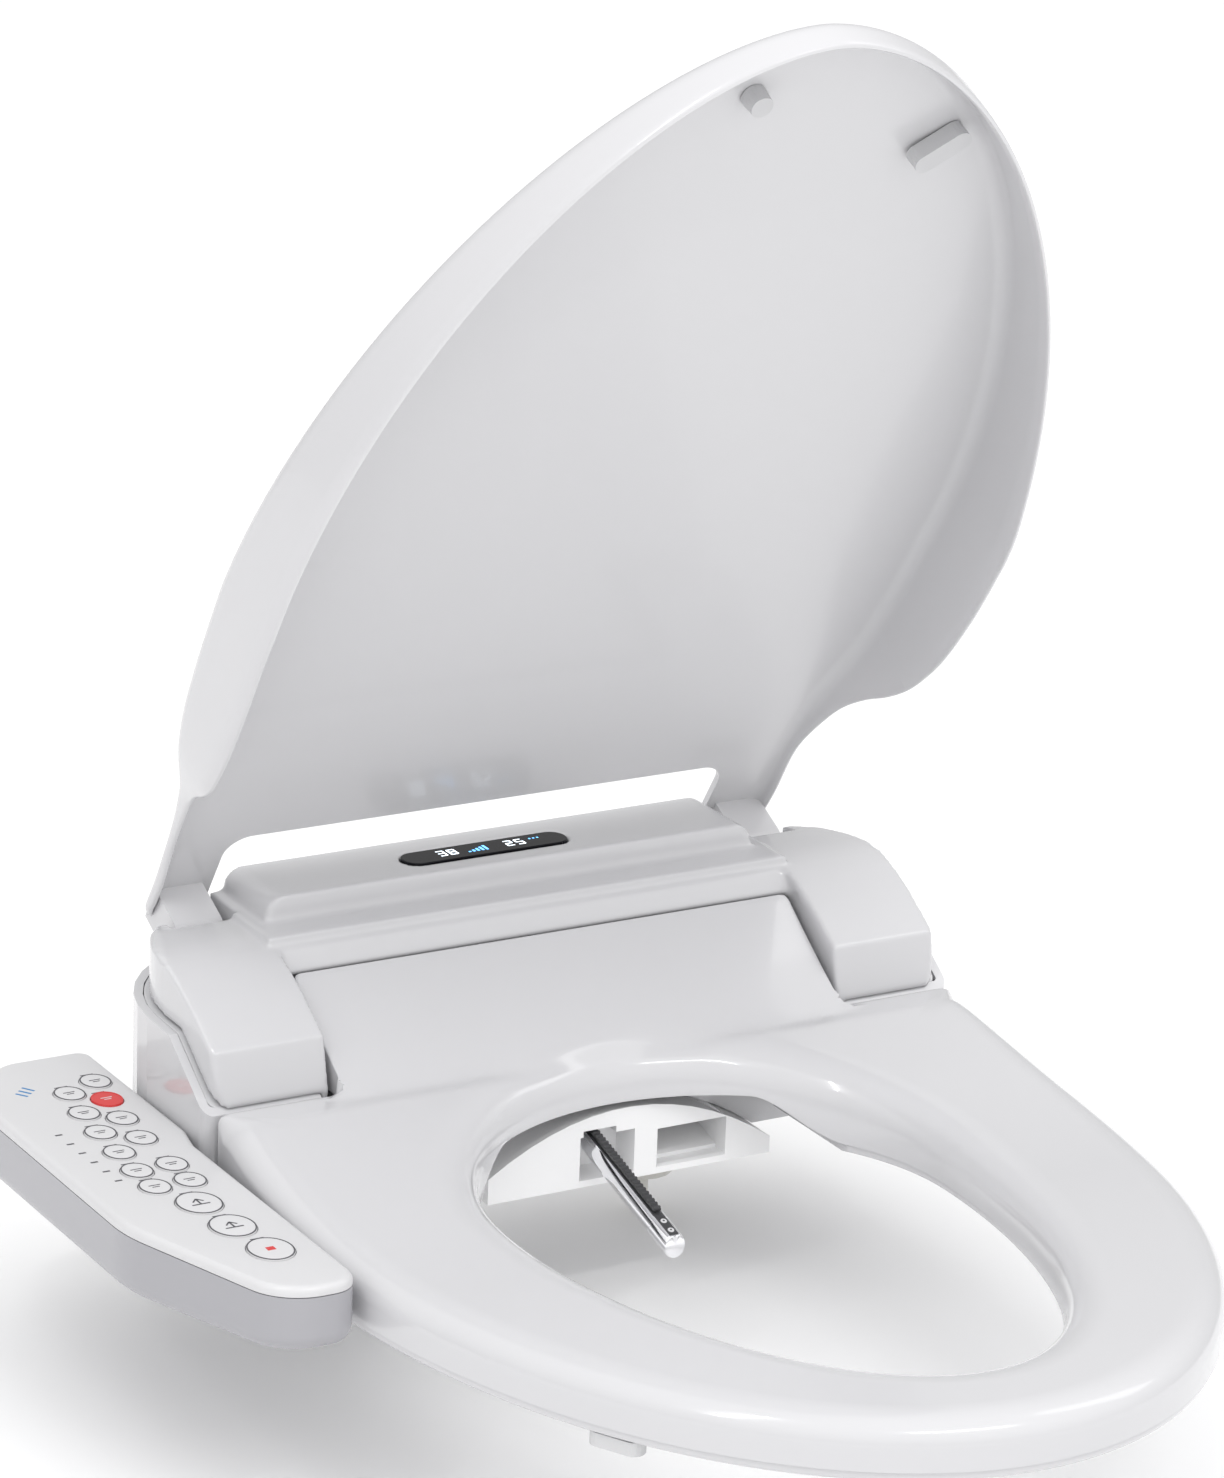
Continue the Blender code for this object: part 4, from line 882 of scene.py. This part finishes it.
def make_nozzle(mats):
    """A polished tube, cut on a slant at the tip, with a black strip along its top and two spray holes."""
    rings = []
    sides = 64
    for back, radius in ((0.0, 0.0), (0.0, 4.4), (0.3, 4.9), (1.2, 5.2), (16.0, NOZZLE_RADIUS),
                         (16.1, 5.05), (16.5, 5.05), (16.6, NOZZLE_RADIUS),
                         (NOZZLE_LENGTH - 0.5, NOZZLE_RADIUS), (NOZZLE_LENGTH, 4.8)):
        ring = []
        for i in range(sides):
            a = 2 * math.pi * i / sides
            lift, side = max(radius, 0.05) * math.sin(a), max(radius, 0.05) * math.cos(a)
            slant = (lift + 5.3) * 0.35 if back < 10 else 0.0
            ring.append(along_nozzle(back + slant, min(lift, 4.5), side))
        rings.append(ring)
    barrel = loft("nozzle_barrel", rings, closed=False)
    barrel.data.set_sharp_from_angle(angle=math.radians(35))
    finish_piece(barrel, mats["chrome"], "nozzle", "nozzle_tube", "nozzle_tip", slot="chrome")
    strip_box = [(back, lift, side) for back in (4.5, NOZZLE_LENGTH - 8) for lift in (4.3, 4.75)
                 for side in (-2.2, 2.2)]
    verts = [along_nozzle(*corner) for corner in strip_box]
    faces = [(0, 1, 3, 2), (4, 6, 7, 5), (0, 4, 5, 1), (2, 3, 7, 6), (0, 2, 6, 4), (1, 5, 7, 3)]
    band = make_object("nozzle_band", verts, faces, smooth=False)
    finish_piece(band, mats["dark_plastic"], "nozzle", slot="dark_plastic")
    for number, back in enumerate((7.5, 14.0)):
        jet = tube("nozzle_jet_%d" % number, along_nozzle(back, 4.6), along_nozzle(back, 5.0), 1.5, 1.35, 32)
        finish_piece(jet, mats["key_white"], "nozzle")
        # Each spray hole is a dark disc: painted shade where the opening would be.
        start, end = along_nozzle(back, 4.7), along_nozzle(back, 5.06)
        hole = tube("nozzle_hole_shade_%d" % number, start, end, 0.5, 0.5, 20)
        finish_piece(hole, mats["ink"], "nozzle")


# ---------- the CAD nodes that stay ----------

# CAD nodes that stay in view, with the radius that softens their edges
KEPT = {"base_tray": 1.2, "nozzle_guide": 0.5, "mounting_plate": 0.8,
        "mounting_bolt_left": 0.5, "mounting_bolt_right": 0.5,
        "mounting_nut_left": 0.8, "mounting_nut_right": 0.8,
        "water_inlet": 0.6, "power_gland": 0.6, "drain_plug": 0.5, "release_button": 0.8,
        "seat_bumper_front_left": 1.5, "seat_bumper_front_right": 1.5,
        "seat_bumper_rear_left": 1.5, "seat_bumper_rear_right": 1.5,
        "lid_bumper_stub": 1.2, "lid_bumper_pad": 1.5}


def dress_kept_nodes(mats):
    """Every CAD node still shown gets its slot's finish, smooth round sides and softened edges; the nozzle
    guide gets a lighter copy of white instead, as painted light.
    """
    slots = {row["node"]: row["material_slot"] for row in frame["record"]["subparts"]}
    for node, obj in frame["nodes"].items():
        if obj.hide_render:
            continue
        # The nozzle guide takes the lighter painted-light copy instead of its slot's finish.
        mat = mats["guide_painted_light" if node == "nozzle_guide" else slots[node]]
        if obj.data.materials:
            for index in range(len(obj.data.materials)):
                obj.data.materials[index] = mat
        else:
            obj.data.materials.append(mat)
        obj.data.shade_smooth()
        obj.data.set_sharp_from_angle(angle=math.radians(35))
        if node in KEPT:
            rounded(obj, KEPT[node], 3)


# ---------- stage ----------

SKY_TOWARDS = (-0.12, -0.35, 0.92)
SKY_LOW, SKY_TOP = 0.56, 1.5


def make_stage():
    size, level = 6000.0, -66.0
    floor = make_object("floor", [(-size, -size, level), (size, -size, level), (size, size, level),
                                  (-size, size, level)], [(0, 1, 2, 3)], smooth=False)
    mat, shader = shader_of("floor")
    tint(mat, shader, (0.90, 0.90, 0.905), (0.92, 0.92, 0.922), 1.5)
    roughen(mat, shader, 0.6, 0.8, 4.0)
    floor.data.materials.append(mat)
    make_sky()
    for name, place, target, size_x, size_y, power in (
            ("strip_left", (-1300, -700, 2000), (0, -150, 100), 0.06, 1.2, 7.0),
            ("strip_front", (200, -1700, 2200), (0, -150, 100), 1.2, 0.06, 9.0),
            ("strip_right", (1500, -500, 1700), (0, -150, 150), 0.5, 1.2, 3.0)):
        light = bpy.data.lights.new(name, "AREA")
        light.shape = "RECTANGLE"
        light.size, light.size_y, light.energy = size_x, size_y, power
        lamp = bpy.data.objects.new(name, light)
        lamp.location = Vector(place) * MM
        lamp.rotation_euler = (Vector(place) - Vector(target)).to_track_quat("Z", "Y").to_euler()
        bpy.context.scene.collection.objects.link(lamp)
    bpy.context.scene.view_settings.view_transform = "Standard"


def make_sky():
    """A white surround like a large soft box: brightest overhead and in front, dimmer low down and behind."""
    world = bpy.data.worlds.new("studio")
    world.use_nodes = True
    nodes, links = world.node_tree.nodes, world.node_tree.links
    place = nodes.new("ShaderNodeTexCoord")
    towards = nodes.new("ShaderNodeVectorMath")
    towards.operation = "DOT_PRODUCT"
    towards.inputs[1].default_value = Vector(SKY_TOWARDS).normalized()
    span = nodes.new("ShaderNodeMapRange")
    span.inputs["To Min"].default_value = SKY_LOW
    span.inputs["To Max"].default_value = SKY_TOP
    links.new(place.outputs["Generated"], towards.inputs[0])
    links.new(towards.outputs["Value"], span.inputs["Value"])
    links.new(span.outputs["Result"], nodes["Background"].inputs["Strength"])
    nodes["Background"].inputs["Color"].default_value = (1.0, 1.0, 1.0, 1.0)
    bpy.context.scene.world = world


def make_camera():
    """Front left of the seat and a little above it, with a long lens."""
    right = Vector((0.86841801, -0.49467098, 0.03392325))
    up = Vector((0.12892504, 0.29133795, 0.94789268))
    back = Vector((-0.47877813, -0.81879351, 0.3167786))
    place = Vector((-1145.98, -2047.56, 946.87)) * MM
    data = bpy.data.cameras.new("camera")
    data.sensor_fit = "HORIZONTAL"
    data.sensor_width = 36.0
    data.lens = 164.8
    data.shift_x, data.shift_y = 0.0054, 0.0177
    data.clip_end = 50.0
    camera = bpy.data.objects.new("camera", data)
    turn = Matrix((right, up, back)).transposed().to_4x4()
    camera.matrix_world = Matrix.Translation(place) @ turn
    bpy.context.scene.collection.objects.link(camera)
    bpy.context.scene.camera = camera


def main():
    mats = make_materials()
    make_camera()
    make_stage()
    make_lid_shell(mats)
    make_seat_shell(mats)
    make_seat_base(mats)
    make_cover(mats)
    make_display(mats)
    make_panel(mats)
    make_keys(mats)
    make_nozzle(mats)
    dress_kept_nodes(mats)


main()
